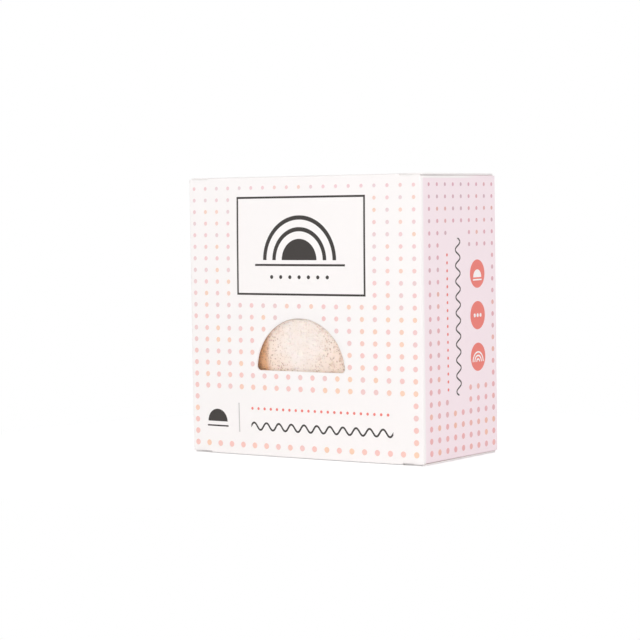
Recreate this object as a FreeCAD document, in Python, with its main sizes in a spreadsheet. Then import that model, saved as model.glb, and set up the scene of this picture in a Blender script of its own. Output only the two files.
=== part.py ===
# A konjac sponge in its retail carton: a half-ball sponge stands in a tuck-end box of
# folded board, and shows through a half-moon window in the front panel.
# Millimetres, +Z up. The origin is the middle of the base and the window faces -Y.
import FreeCAD, Part
import math
import os
import Sketcher

# Driving sizes. The carton is folded round the sponge, so its width, depth and height
# follow from the sponge, the clearances round it and the board.
SIZES = {
    # Sponge
    "sponge_diameter": 75.0,
    "sponge_thickness": 38.4,
    "sponge_rim_radius": 7.0,
    "sponge_crown_angle": 35.0,
    "sponge_side_clearance": 2.0,
    "sponge_wall_clearance": 0.3,
    "sponge_floor_clearance": 0.3,
    "sponge_headroom": 3.7,
    # Board and folds
    "board_thickness": 0.5,
    "fold_inner_radius": 0.2,
    "front_edge_drop": 0.5,
    # Window in the front panel
    "window_radius": 15.0,
    "window_sill_height": 24.8,
    "window_corner_radius": 1.2,
    # Glued seam at the rear left corner
    "glue_flap_width": 12.0,
    "glue_flap_end_gap": 3.0,
    "glue_flap_taper": 4.0,
    "adhesive_thickness": 0.1,
    "adhesive_width": 7.0,
    "adhesive_end_margin": 5.0,
    "seam_setback": 0.3,
    # Lids, which close the two ends
    "lid_side_clearance": 0.3,
    "lid_gap": 0.2,
    # Tuck flaps, which fold from the lids down behind the front panel
    "tuck_clearance": 0.25,
    "tuck_length": 12.0,
    "tuck_lean": 12.0,
    "tuck_side_inset": 1.2,
    "tuck_corner_radius": 6.0,
    "slit_length": 6.0,
    "slit_width": 0.4,
    # Dust flaps, which fold in from the side panels under the lids
    "dust_tip_gap": 28.0,
    "dust_tip_width": 11.0,
    "dust_rear_clearance": 0.6,
    "dust_front_setback": 2.4,
    "dust_front_taper": 1.5,
    "dust_corner_radius": 3.0,
    # How far the cutting shapes run past the board
    "cut_overrun": 1.0,
}

doc = FreeCAD.newDocument("boxed_konjac_sponge")
sheet = doc.addObject("Spreadsheet::Sheet", "Sizes")
for row, (alias, number) in enumerate(SIZES.items(), start=1):
    sheet.set(f"A{row}", alias)
    sheet.set(f"B{row}", str(number))
    sheet.setAlias(f"B{row}", alias)
doc.recompute()

# Sizes that follow from the driving ones, as expressions of the sheet
BOARD = "Sizes.board_thickness"
OVERRUN = "Sizes.cut_overrun"
WIDTH = f"(Sizes.sponge_diameter + 2 * Sizes.sponge_side_clearance + 2 * {BOARD})"
DEPTH = f"(Sizes.sponge_thickness + 2 * Sizes.sponge_wall_clearance + 2 * {BOARD})"
HEIGHT = ("(Sizes.sponge_diameter + Sizes.sponge_floor_clearance + Sizes.sponge_headroom"
          f" + 2 * {BOARD})")
RIGHT_FACE = f"({WIDTH} / 2)"
BACK_FACE = f"({DEPTH} / 2)"
FOLD_RADIUS = f"(Sizes.fold_inner_radius + {BOARD})"
DIAGONAL = "sin(45)"
DUST_LEVEL = f"({BOARD} + Sizes.lid_gap)"
SEAM_STEP = f"({BOARD} + Sizes.adhesive_thickness)"
LID_LENGTH = f"({DEPTH} - {BOARD} - Sizes.tuck_clearance)"
LID_WIDTH = f"({WIDTH} - 2 * Sizes.lid_side_clearance)"
TUCK_MITRE = f"({BOARD} / tan((90 - Sizes.tuck_lean) / 2))"

LEFT_TURN, RIGHT_TURN = 1, -1
ALONG_X, ALONG_Y, ALONG_Z = (FreeCAD.Vector(*unit) for unit in ((1, 0, 0), (0, 1, 0), (0, 0, 1)))
sub_parts = []


def value(expression):
    """Give what an expression of the sheet comes to."""
    return float(sheet.evalExpression(expression))


def new_body(label):
    body = doc.addObject("PartDesign::Body", label)
    sub_parts.append(body)
    return body


def new_sketch(body, plane_role, name):
    """Start a sketch on one of the body's own origin planes."""
    sketch = body.newObject("Sketcher::SketchObject", f"{body.Label}_{name}")
    plane = next(item for item in body.Origin.OriginFeatures if item.Role == plane_role)
    sketch.AttachmentSupport = (plane, [""])
    sketch.MapMode = "FlatFace"
    return sketch


def bind(sketch, kind, index, end, expression):
    """Tie one coordinate of a sketch point to an expression, or to the axis where it is zero."""
    if expression == "0":
        axis = -2 if kind == "DistanceX" else -1
        sketch.addConstraint(Sketcher.Constraint("PointOnObject", index, end, axis))
        return
    number = sketch.addConstraint(
        Sketcher.Constraint(kind, -1, 1, index, end, value(expression)))
    sketch.setExpression(f"Constraints[{number}]", expression)


def arc_between(first, last, radius, turn):
    """Make the short arc from first to last that turns left or right."""
    chord = last - first
    rise = math.sqrt(max(radius ** 2 - (chord.Length / 2) ** 2, 0))
    leftward = FreeCAD.Vector(-chord.y, chord.x, 0).normalize()
    centre = (first + last) / 2 + leftward * rise * turn
    start, end = (first, last) if turn == LEFT_TURN else (last, first)
    angles = [math.atan2(spot.y - centre.y, spot.x - centre.x) for spot in (start, end)]
    return Part.ArcOfCircle(Part.Circle(centre, ALONG_Z, radius), *angles)


def draw_outline(sketch, corners):
    """Draw a closed outline. A corner is (x, y), or (x, y, radius, turn) where an arc leaves it."""
    spots = [FreeCAD.Vector(value(corner[0]), value(corner[1]), 0) for corner in corners]
    stretches = []
    for number, corner in enumerate(corners):
        first, last = spots[number], spots[(number + 1) % len(spots)]
        if len(corner) == 2:
            stretches.append((sketch.addGeometry(Part.LineSegment(first, last)), 1, 2))
            continue
        radius, turn = corner[2:]
        index = sketch.addGeometry(arc_between(first, last, value(radius), turn))
        stretches.append((index, 1, 2) if turn == LEFT_TURN else (index, 2, 1))
        number = sketch.addConstraint(Sketcher.Constraint("Radius", index, value(radius)))
        sketch.setExpression(f"Constraints[{number}]", radius)
    for number, corner in enumerate(corners):
        index, start, end = stretches[number]
        after, after_start, _ = stretches[(number + 1) % len(stretches)]
        sketch.addConstraint(Sketcher.Constraint("Coincident", index, end, after, after_start))
        bind(sketch, "DistanceX", index, start, corner[0])
        bind(sketch, "DistanceY", index, start, corner[1])


def extrude(body, sketch, length, side="One side", backwards=False):
    pad = body.newObject("PartDesign::Pad", f"{sketch.Label}_pad")
    pad.Profile = sketch
    pad.SideType = side
    pad.Reversed = backwards
    pad.setExpression("Length", length)
    return pad


def cut_through(body, sketch, length):
    """Cut an outline out of the body, both ways from the sketch, and make sure that it cut."""
    doc.recompute()
    volume = body.Shape.Volume
    pocket = body.newObject("PartDesign::Pocket", f"{sketch.Label}_pocket")
    pocket.Profile = sketch
    pocket.SideType = "Symmetric"
    pocket.setExpression("Length", length)
    doc.recompute()
    if not 0 < body.Shape.Volume < volume:
        raise RuntimeError(f"{sketch.Label} cut nothing")


def round_corners(body, feature, is_corner, radius):
    """Fillet the edges through the board whose middle is_corner picks."""
    doc.recompute()
    names = [f"Edge{number}" for number, edge in enumerate(feature.Shape.Edges, start=1)
             if is_corner(edge.CenterOfMass, edge)]
    fillet = body.newObject("PartDesign::Fillet", f"{body.Label}_corners")
    fillet.Base = (feature, names)
    fillet.setExpression("Radius", radius)


def place(body, spot, axis=ALONG_Z, angle=0):
    """Turn a body and tie its place to expressions."""
    body.Placement = FreeCAD.Placement(FreeCAD.Vector(), FreeCAD.Rotation(axis, angle))
    for name, expression in zip("xyz", spot):
        body.setExpression(f"Placement.Base.{name}", expression)


def fold_end(edge, way):
    """Give the section of half a rounded fold that ends at x = edge; way is +1 right or -1 left."""
    sign = "+" if way > 0 else "-"
    centre = f"{edge} - ({way}) * {FOLD_RADIUS}"
    inner = "Sizes.fold_inner_radius"
    outward = [
        (centre, "0", FOLD_RADIUS, LEFT_TURN),
        (f"{centre} {sign} {FOLD_RADIUS} * {DIAGONAL}", f"{FOLD_RADIUS} * (1 - {DIAGONAL})"),
        (f"{centre} {sign} {inner} * {DIAGONAL}", f"{FOLD_RADIUS} - {inner} * {DIAGONAL}",
         inner, RIGHT_TURN),
        (centre, BOARD),
    ]
    if way > 0:
        return outward
    # The left end runs from the inner face back out, so its arcs leave from their other ends
    outer_start, outer_tip, inner_tip, inner_start = outward
    return [
        (*inner_start, inner, RIGHT_TURN),
        inner_tip[:2],
        (*outer_tip, FOLD_RADIUS, LEFT_TURN),
        outer_start[:2],
    ]


def cut_end(edge, way):
    """Give the section of a plain cut edge at x = edge."""
    return [(edge, "0"), (edge, BOARD)][::way]


def add_panel(label, left, right, low, high, left_end=fold_end, right_end=fold_end):
    """Make an upright panel: its outer face on y = 0, from x = left to right, z = low to high."""
    body = new_body(label)
    section = new_sketch(body, "XY_Plane", "section")
    section.setExpression("AttachmentOffset.Base.z", low)
    draw_outline(section, right_end(right, 1) + left_end(left, -1))
    extrude(body, section, f"{high} - {low}")
    return body


def mitre_creases(body, low, high, reach):
    """Bevel a panel's ends at 45 degrees, where flaps fold from its outer edges."""
    deep = f"({BOARD} + {OVERRUN})"
    bevels = new_sketch(body, "YZ_Plane", "bevels")
    draw_outline(bevels, [("0", high), (deep, f"{high} - {deep}"), (deep, high)])
    draw_outline(bevels, [("0", low), (deep, low), (deep, f"{low} + {deep}")])
    cut_through(body, bevels, f"2 * {reach}")


def add_front_panel():
    """Make the front panel with its half-moon window, whose lower corners are rounded."""
    low = "Sizes.front_edge_drop"
    body = add_panel("front_panel", f"-{RIGHT_FACE}", RIGHT_FACE, low, f"({HEIGHT} - {low})")
    radius, corner, sill = (f"Sizes.window_{name}" for name in ("radius", "corner_radius", "sill_height"))
    foot = f"sqrt(({radius} - {corner})^2 - {corner}^2)"
    grown = f"{radius} / ({radius} - {corner})"
    shoulder = (f"{foot} * {grown}", f"{sill} + {corner} * {grown}")
    window = new_sketch(body, "XZ_Plane", "window")
    draw_outline(window, [
        (f"-{foot}", sill),
        (foot, sill, corner, LEFT_TURN),
        (*shoulder, radius, LEFT_TURN),
        ("0", f"{sill} + {radius}", radius, LEFT_TURN),
        (f"-{shoulder[0]}", shoulder[1], corner, LEFT_TURN),
    ])
    cut_through(body, window, f"4 * {BOARD}")
    place(body, ("0", f"-{BACK_FACE}", "0"))


def add_side_panels():
    """Make the two side panels. The left one ends in a cut edge over the glued seam."""
    low, high = DUST_LEVEL, f"({HEIGHT} - {DUST_LEVEL})"
    right = add_panel("right_side_panel", f"-{BACK_FACE}", BACK_FACE, low, high)
    mitre_creases(right, low, high, DEPTH)
    place(right, (RIGHT_FACE, "0", "0"), ALONG_Z, 90)
    seam = f"Sizes.seam_setback - {BACK_FACE}"
    left = add_panel("left_side_panel", seam, BACK_FACE, low, high, left_end=cut_end)
    mitre_creases(left, low, high, DEPTH)
    place(left, (f"-{RIGHT_FACE}", "0", "0"), ALONG_Z, -90)


def add_back_panel():
    """Make the back panel, from which both lids fold. Its seam end steps in behind the left panel."""
    body = add_panel("back_panel", f"-{RIGHT_FACE}", f"({RIGHT_FACE} - {SEAM_STEP})", "0", HEIGHT)
    mitre_creases(body, "0", HEIGHT, WIDTH)
    place(body, ("0", BACK_FACE, "0"), ALONG_Z, 180)


def add_glue_flap():
    """Make the flap that folds from the back panel and is glued inside the left panel."""
    low = "Sizes.glue_flap_end_gap"
    high = f"({HEIGHT} - {low})"
    rear = f"-{BACK_FACE}"
    free = f"(Sizes.glue_flap_width - {BACK_FACE})"
    taper = "Sizes.glue_flap_taper"
    body = add_panel("glue_flap", rear, free, low, high, right_end=cut_end)
    ends = new_sketch(body, "XZ_Plane", "ends")
    draw_outline(ends, [(rear, low), (free, low), (free, f"{low} + {taper}")])
    draw_outline(ends, [(rear, high), (free, high), (free, f"{high} - {taper}")])
    cut_through(body, ends, f"4 * {FOLD_RADIUS}")
    place(body, (f"{SEAM_STEP} - {RIGHT_FACE}", "0", "0"), ALONG_Z, -90)


def add_seam_adhesive():
    """Make the strip of glue between the glue flap and the left panel."""
    margin = "(Sizes.glue_flap_end_gap + Sizes.glue_flap_taper + Sizes.adhesive_end_margin)"
    strip = doc.addObject("Part::Box", "seam_adhesive")
    strip.setExpression("Length", "Sizes.adhesive_thickness")
    strip.setExpression("Width", "Sizes.adhesive_width")
    strip.setExpression("Height", f"{HEIGHT} - 2 * {margin}")
    middle = f"({BACK_FACE} - Sizes.glue_flap_width / 2)"
    place(strip, (f"{BOARD} - {RIGHT_FACE}", f"{middle} - Sizes.adhesive_width / 2", margin))
    sub_parts.append(strip)


def add_lid(end, place_at):
    """Make a lid: hinged along x at its rear outer edge, with a mitre for the tuck flap in front."""
    body = new_body(f"{end}_lid")
    section = new_sketch(body, "YZ_Plane", "section")
    draw_outline(section, [
        ("0", "0"),
        (f"-{LID_LENGTH}", "0"),
        (f"{TUCK_MITRE} - {LID_LENGTH}", f"-{BOARD}"),
        (f"-{BOARD}", f"-{BOARD}"),
    ])
    extrude(body, section, LID_WIDTH, "Symmetric")
    place_at(body, BACK_FACE)


def add_tuck_flap(end, place_at):
    """Make a tuck flap: it hangs from the lid's front crease, which is slit at both ends."""
    body = new_body(f"{end}_tuck_flap")
    half = f"({LID_WIDTH} / 2 - Sizes.tuck_side_inset)"
    crease = f"({half} - Sizes.slit_length)"
    slit = "-Sizes.slit_width"
    foot = "-Sizes.tuck_length"
    right_side = [(half, foot), (half, slit), (crease, slit), (crease, "0")]
    left_side = [(f"-{x}", z) for x, z in right_side[::-1]]
    outline = new_sketch(body, "XZ_Plane", "outline")
    draw_outline(outline, right_side + left_side)
    pad = extrude(body, outline, BOARD, backwards=True)
    low = value(f"{foot} / 2")
    round_corners(body, pad, lambda middle, edge: middle.z < low and abs(edge.tangentAt(0).y) > 0.9,
                  "Sizes.tuck_corner_radius")
    deep = f"({BOARD} + {OVERRUN})"
    bevel = new_sketch(body, "YZ_Plane", "bevel")
    draw_outline(bevel, [("0", "0"), (deep, f"-{deep} * {TUCK_MITRE} / {BOARD}"), (deep, "0")])
    cut_through(body, bevel, f"2 * {LID_WIDTH}")
    place_at(body, f"{BACK_FACE} - {LID_LENGTH}", value("Sizes.tuck_lean"))


def add_dust_flap(end, side, way, place_at):
    """Make a dust flap: hinged along y at x = 0, it tapers away from the lid's crease."""
    body = new_body(f"{end}_{side}_dust_flap")
    tip = f"({way}) * ({WIDTH} - Sizes.dust_tip_gap) / 2"
    front = f"Sizes.dust_front_setback - {BACK_FACE}"
    rear = f"{BACK_FACE} - {BOARD} - Sizes.dust_rear_clearance"
    tip_front = f"{front} + Sizes.dust_front_taper"
    outline = new_sketch(body, "XY_Plane", "outline")
    draw_outline(outline, [
        ("0", front),
        ("0", rear),
        (tip, f"{tip_front} + Sizes.dust_tip_width"),
        (tip, tip_front),
    ])
    pad = extrude(body, outline, BOARD, backwards=True)
    half = value(f"{tip} / 2")
    round_corners(body, pad,
                  lambda middle, edge: middle.x / half > 1 and abs(edge.tangentAt(0).z) > 0.9,
                  "Sizes.dust_corner_radius")
    deep = f"({BOARD} + {OVERRUN})"
    bevel = new_sketch(body, "XZ_Plane", "bevel")
    draw_outline(bevel, [("0", "0"), (f"({way}) * {deep}", f"-{deep}"), ("0", f"-{deep}")])
    cut_through(body, bevel, f"2 * {DEPTH}")
    place_at(body, f"-({way}) * {RIGHT_FACE}")


def add_end_closure(end):
    """Make one end's lid, tuck flap and dust flaps. The bottom's are the top's, turned over."""
    at_top = end == "top"
    turned = 0 if at_top else 180
    lid_level = HEIGHT if at_top else "0"
    dust_level = f"{HEIGHT} - {DUST_LEVEL}" if at_top else DUST_LEVEL

    def at_lid(body, y, lean=0):
        place(body, ("0", y, lid_level))
        over = FreeCAD.Rotation(ALONG_Y, turned)
        body.Placement.Rotation = over.multiply(FreeCAD.Rotation(ALONG_X, lean))

    def at_side(body, x):
        place(body, (x, "0", dust_level), ALONG_Y, turned)

    add_lid(end, at_lid)
    add_tuck_flap(end, at_lid)
    # Turned over, a flap that is drawn from the right crease belongs to the left one
    for side, inward in (("left", 1), ("right", -1)):
        drawn = inward if at_top else -inward
        add_dust_flap(end, side, drawn, lambda body, x: at_side(body, x if at_top else f"-({x})"))


def add_sponge():
    """Turn the sponge: a flat back, a rounded rim, and a dome of two tangent arcs."""
    body = new_body("konjac_sponge")
    radius = "(Sizes.sponge_diameter / 2)"
    rim = "Sizes.sponge_rim_radius"
    rise = f"(Sizes.sponge_thickness - {rim})"
    sine, cosine = "sin(Sizes.sponge_crown_angle)", "cos(Sizes.sponge_crown_angle)"
    flat = f"((1 - {cosine}) / {sine})"
    shoulder = f"(({rise} - {radius} * {flat}) / ({cosine} - (1 - {sine}) * {flat}))"
    crown = f"(({radius} - {shoulder} * (1 - {sine})) / {sine})"
    profile = new_sketch(body, "XY_Plane", "profile")
    draw_outline(profile, [
        ("0", "0"),
        (f"{radius} - {rim}", "0", rim, LEFT_TURN),
        (radius, rim, shoulder, LEFT_TURN),
        (f"{crown} * {sine}", f"Sizes.sponge_thickness - {crown} * (1 - {cosine})", crown, LEFT_TURN),
        ("0", "Sizes.sponge_thickness"),
    ])
    dome = body.newObject("PartDesign::Revolution", "konjac_sponge_dome")
    dome.Profile = profile
    dome.ReferenceAxis = (profile, ["V_Axis"])
    dome.Angle = 360
    rear = f"{BACK_FACE} - {BOARD} - Sizes.sponge_wall_clearance"
    place(body, ("0", rear, f"{BOARD} + Sizes.sponge_floor_clearance + {radius}"), ALONG_Z, 180)


add_front_panel()
add_side_panels()
add_back_panel()
add_glue_flap()
add_seam_adhesive()
for carton_end in ("top", "bottom"):
    add_end_closure(carton_end)
add_sponge()
doc.recompute()

for item in doc.Objects:
    if "Invalid" in item.State or "Error" in item.State:
        raise RuntimeError(f"{item.Label} failed: {item.State}")
for part in sub_parts:
    if part.Shape.isNull() or not part.Shape.isValid() or len(part.Shape.Solids) != 1:
        raise RuntimeError(f"{part.Label} is not one sound solid")

os.makedirs("parts", exist_ok=True)
for part in sub_parts:
    part.Shape.exportStep(f"parts/{part.Label}.step")
    box = part.Shape.optimalBoundingBox()
    print(f"{part.Label}: x {box.XMin:.2f} to {box.XMax:.2f}, y {box.YMin:.2f} to {box.YMax:.2f},"
          f" z {box.ZMin:.2f} to {box.ZMax:.2f}, {part.Shape.Volume:.1f} mm3")
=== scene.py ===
# %% [markdown]
# # A half-ball sponge in its window carton
# The object is a konjac sponge that stands in a folded box of printed board and shows
# through a half-moon window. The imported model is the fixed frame: it says where each
# panel, flap and the sponge are, and every piece below is made round it, in its place.

# %% Load the frame
import math

import bmesh
import bpy
from mathutils import Matrix, Vector, noise


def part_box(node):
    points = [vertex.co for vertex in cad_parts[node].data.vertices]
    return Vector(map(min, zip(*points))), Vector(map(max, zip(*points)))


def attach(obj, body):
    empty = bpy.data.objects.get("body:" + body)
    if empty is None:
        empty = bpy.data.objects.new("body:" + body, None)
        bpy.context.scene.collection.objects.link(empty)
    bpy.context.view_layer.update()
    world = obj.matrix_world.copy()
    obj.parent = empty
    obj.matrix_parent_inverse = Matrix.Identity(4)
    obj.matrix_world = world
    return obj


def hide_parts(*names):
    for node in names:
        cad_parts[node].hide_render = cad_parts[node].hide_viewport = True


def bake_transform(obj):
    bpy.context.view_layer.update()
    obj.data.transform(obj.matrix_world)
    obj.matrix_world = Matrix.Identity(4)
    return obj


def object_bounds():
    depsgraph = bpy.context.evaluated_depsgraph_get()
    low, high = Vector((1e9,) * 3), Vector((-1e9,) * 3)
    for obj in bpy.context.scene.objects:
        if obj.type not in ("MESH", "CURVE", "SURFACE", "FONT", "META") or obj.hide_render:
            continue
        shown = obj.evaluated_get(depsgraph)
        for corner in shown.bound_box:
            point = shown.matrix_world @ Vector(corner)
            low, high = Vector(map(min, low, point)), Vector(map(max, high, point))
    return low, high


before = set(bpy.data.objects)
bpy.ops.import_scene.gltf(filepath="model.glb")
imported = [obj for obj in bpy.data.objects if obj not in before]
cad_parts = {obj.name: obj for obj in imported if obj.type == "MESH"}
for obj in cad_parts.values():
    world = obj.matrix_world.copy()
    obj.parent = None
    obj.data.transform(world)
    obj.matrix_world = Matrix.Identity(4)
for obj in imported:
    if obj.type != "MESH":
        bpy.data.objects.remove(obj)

cad_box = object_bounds()

# %% [markdown]
# Blender works in metres, but a carton maker thinks in millimetres. The sizes here are
# in millimetres, and a piece is scaled by MM when it is put in its place. The carton's
# own sizes are read from the frame, so that the looks follow the construction.

# %% The carton's sizes
MM = 0.001
FOLD_INSIDE = 0.2

WIDTH, DEPTH, HEIGHT = (cad_box[1] - cad_box[0]) / MM
RIGHT, BACK = WIDTH / 2, DEPTH / 2
lid_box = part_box("top_lid")
BOARD = (lid_box[1].z - lid_box[0].z) / MM
FOLD_RADIUS = FOLD_INSIDE + BOARD
print(f"carton {WIDTH:.1f} by {DEPTH:.1f} by {HEIGHT:.1f} mm, board {BOARD:.2f} mm")

# %% [markdown]
# ## Camera
# The camera comes first, because everything is compared through it. It stands to the
# right of the carton, a little below the lid's height, and looks slightly down. A long
# lens keeps the upright edges almost parallel. The corners are projected by hand for a
# square picture, to see that they land where they should.

# %% Camera
EYE = Vector((355.28, -520.53, 71.62))
TURN, TILT, ROLL = 34.903, -3.017, -0.84
LENS, SENSOR, PICTURE = 122.49, 36.0, 640

turned = Matrix.Rotation(math.radians(TURN), 4, "Z")
tilted = Matrix.Rotation(math.radians(90 + TILT), 4, "X")
rolled = Matrix.Rotation(math.radians(ROLL), 4, "Z")
camera_data = bpy.data.cameras.new("camera")
camera_data.lens, camera_data.sensor_width = LENS, SENSOR
camera = bpy.data.objects.new("camera", camera_data)
camera.matrix_world = Matrix.Translation(EYE * MM) @ turned @ tilted @ rolled
bpy.context.scene.collection.objects.link(camera)
bpy.context.scene.camera = camera


def pixel(point):
    """Give the picture place of a point in millimetres."""
    seen = camera.matrix_world.inverted() @ (Vector(point) * MM)
    scale = PICTURE * LENS / SENSOR / -seen.z
    return PICTURE / 2 + seen.x * scale, PICTURE / 2 - seen.y * scale


for name, corner in {"near top": (RIGHT, -BACK, HEIGHT), "near bottom": (RIGHT, -BACK, 0),
                     "left top": (-RIGHT, -BACK, HEIGHT), "right bottom": (RIGHT, BACK, 0)}.items():
    print(name, "at pixel", [round(place, 1) for place in pixel(corner)])

# %% [markdown]
# ## Node helpers
# A shader is a drawing made of small sums. Written out node by node it takes pages, so
# these helpers add one node each and take numbers or sockets alike, and a print then reads
# as a formula.

# %% Node helpers
def connect(tree, value, socket):
    """Link a socket, or set a plain value."""
    if isinstance(value, bpy.types.NodeSocket):
        tree.links.new(value, socket)
    else:
        socket.default_value = value


def add_node(tree, kind, **values):
    """Add a node and link or set the inputs that are named."""
    node = tree.nodes.new(kind)
    for label, value in values.items():
        connect(tree, value, node.inputs[label])
    return node


def calc(tree, operation, *values):
    """Add a sum of one or two values."""
    node = tree.nodes.new("ShaderNodeMath")
    node.operation = operation
    for socket, value in zip(node.inputs, values):
        connect(tree, value, socket)
    return node.outputs[0]


def distance(tree, across, up):
    """Give the length of a flat step."""
    return calc(tree, "SQRT", calc(tree, "ADD", calc(tree, "MULTIPLY", across, across),
                                   calc(tree, "MULTIPLY", up, up)))


def ramp(tree, value, start, end, low=0.0, high=1.0, smooth=True):
    """Map a value from one range to another, with soft ends."""
    node = tree.nodes.new("ShaderNodeMapRange")
    node.interpolation_type = "SMOOTHSTEP" if smooth else "LINEAR"
    for socket, given in zip(node.inputs, (value, start, end, low, high)):
        connect(tree, given, socket)
    return node.outputs[0]


def mix(tree, share, first, second):
    """Mix two colours."""
    node = tree.nodes.new("ShaderNodeMix")
    node.data_type = "RGBA"
    for name, value in (("Factor_Float", share), ("A_Color", first), ("B_Color", second)):
        connect(tree, value, next(item for item in node.inputs if item.identifier == name))
    return next(item for item in node.outputs if item.identifier == "Result_Color")


print("node helpers ready")

# %% [markdown]
# A mask is a value of 0 or 1 with a soft edge. Masks are joined by multiplying or by taking
# the larger one. A node group is made once and then placed in each finish that needs it,
# with values of its own, so that all prints share their dots, boxes and discs.

# %% Masks, groups and colours
def all_of(tree, *masks):
    """Give the mask where all masks are."""
    whole = masks[0]
    for mask in masks[1:]:
        whole = calc(tree, "MULTIPLY", whole, mask)
    return whole


def any_of(tree, *masks):
    """Give the mask where any mask is."""
    whole = masks[0]
    for mask in masks[1:]:
        whole = calc(tree, "MAXIMUM", whole, mask)
    return whole


def none_of(tree, *masks):
    """Give the mask where no mask is."""
    return calc(tree, "SUBTRACT", 1.0, any_of(tree, *masks))


def new_group(name, inputs, outputs):
    """Start a node group; inputs are given as name and value."""
    group = bpy.data.node_groups.new(name, "ShaderNodeTree")
    for label, value in inputs.items():
        kind = "NodeSocketVector" if isinstance(value, tuple) else "NodeSocketFloat"
        group.interface.new_socket(label, in_out="INPUT", socket_type=kind).default_value = value
    for label in outputs:
        group.interface.new_socket(label, in_out="OUTPUT", socket_type="NodeSocketFloat")
    given = group.nodes.new("NodeGroupInput").outputs
    wanted = group.nodes.new("NodeGroupOutput").inputs
    return group, given, wanted


def use_group(tree, group, **values):
    """Place a group; a value's name has _ where the socket's has a space."""
    node = tree.nodes.new("ShaderNodeGroup")
    node.node_tree = group
    for label, value in values.items():
        connect(tree, value, node.inputs[label.replace("_", " ")])
    return node.outputs


def new_finish(name):
    """Start a finish; gives the material, its nodes and the sockets of its shader."""
    material = bpy.data.materials.new(name)
    material.use_nodes = True
    return material, material.node_tree, material.node_tree.nodes["Principled BSDF"].inputs


def ink(red, green, blue):
    """Turn a colour of 0 to 255 into the linear values that a shader takes."""
    shares = [part / 255 for part in (red, green, blue)]
    linear = [part / 12.92 if part <= 0.04045 else ((part + 0.055) / 1.055) ** 2.4 for part in shares]
    return (*linear, 1.0)


print("mid grey is", round(ink(128, 128, 128)[0], 3), "in linear light")

# %% [markdown]
# ## Stage
# The carton stands on a pale floor under soft light from large lamps. The world lights
# evenly at half strength, and rays that show it see plain white. Brighter lamps would give
# a white backdrop too, but then the carton itself would clip.

# %% World
WORLD_LIGHT = 0.50


def shown_rays(tree):
    """Give the mask of rays that show the stage, straight, mirrored or through glass."""
    rays = tree.nodes.new("ShaderNodeLightPath").outputs
    return any_of(tree, *(rays[f"Is {kind} Ray"] for kind in ("Camera", "Glossy", "Transmission")))


world = bpy.data.worlds.new("studio")
bpy.context.scene.world = world
world.use_nodes = True
tree = world.node_tree
backdrop = tree.nodes["Background"].inputs
backdrop["Color"].default_value = (1.0, 1.0, 1.0, 1.0)
connect(tree, ramp(tree, shown_rays(tree), 0.0, 1.0, WORLD_LIGHT, 1.0, smooth=False), backdrop["Strength"])
bpy.context.scene.view_settings.view_transform = "Standard"
print("world lights at", WORLD_LIGHT)

# %% Floor
FLOOR_REACH, FLOOR_SIDES = 3000.0, 64

floor_bm = bmesh.new()
bmesh.ops.create_circle(floor_bm, cap_ends=True, segments=FLOOR_SIDES, radius=FLOOR_REACH * MM)
floor_mesh = bpy.data.meshes.new("floor")
floor_bm.to_mesh(floor_mesh)
floor_bm.free()
floor = bpy.data.objects.new("floor", floor_mesh)
bpy.context.scene.collection.objects.link(floor)
print("floor reaches", FLOOR_REACH, "mm")

# %% [markdown]
# Near the carton the floor is pale paint that is lit like the carton, so it keeps the
# contact shadow, with a little glow that only the picture sees. Further out it fades to
# plain white, as the backdrop is. It is clear from below and right under the carton, so
# that the opened bottom can be looked into.

# %% Floor finish
SHADOW_REACH, WHITE_REACH = 60.0, 130.0
FLOOR_PAINT, FLOOR_LIFT = (0.9, 0.9, 0.9, 1.0), 0.36
UNDER_MARGIN = 2.0


def mix_shaders(tree, share, first, second):
    """Mix two shaders."""
    node = tree.nodes.new("ShaderNodeMixShader")
    for socket, value in zip(node.inputs, (share, first, second)):
        connect(tree, value, socket)
    return node.outputs[0]


floor_finish = bpy.data.materials.new("pale floor")
floor_finish.use_nodes = True
tree = floor_finish.node_tree
tree.nodes.clear()
shown = shown_rays(tree)
place = add_node(tree, "ShaderNodeTexCoord").outputs["Object"]
spot = add_node(tree, "ShaderNodeSeparateXYZ", Vector=place).outputs
paint = add_node(tree, "ShaderNodeBsdfDiffuse", Color=FLOOR_PAINT)
glow = add_node(tree, "ShaderNodeEmission", Strength=calc(tree, "MULTIPLY", shown, FLOOR_LIFT))
lit = add_node(tree, "ShaderNodeAddShader")
for layer, socket in zip((paint, glow), lit.inputs):
    connect(tree, layer.outputs[0], socket)
white = add_node(tree, "ShaderNodeEmission")
far = ramp(tree, distance(tree, spot["X"], spot["Y"]), SHADOW_REACH * MM, WHITE_REACH * MM)
top = mix_shaders(tree, all_of(tree, shown, far), lit.outputs[0], white.outputs[0])
behind = add_node(tree, "ShaderNodeNewGeometry").outputs["Backfacing"]
under = all_of(tree, *(
    calc(tree, "LESS_THAN", calc(tree, "ABSOLUTE", spot[axis]), (reach - UNDER_MARGIN) * MM)
    for axis, reach in (("X", RIGHT), ("Y", BACK))))
clear = add_node(tree, "ShaderNodeBsdfTransparent")
surface = mix_shaders(tree, any_of(tree, behind, under), top, clear.outputs[0])
add_node(tree, "ShaderNodeOutputMaterial", Surface=surface)
floor_mesh.materials.append(floor_finish)
print("floor finish has", len(tree.nodes), "nodes")

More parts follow.
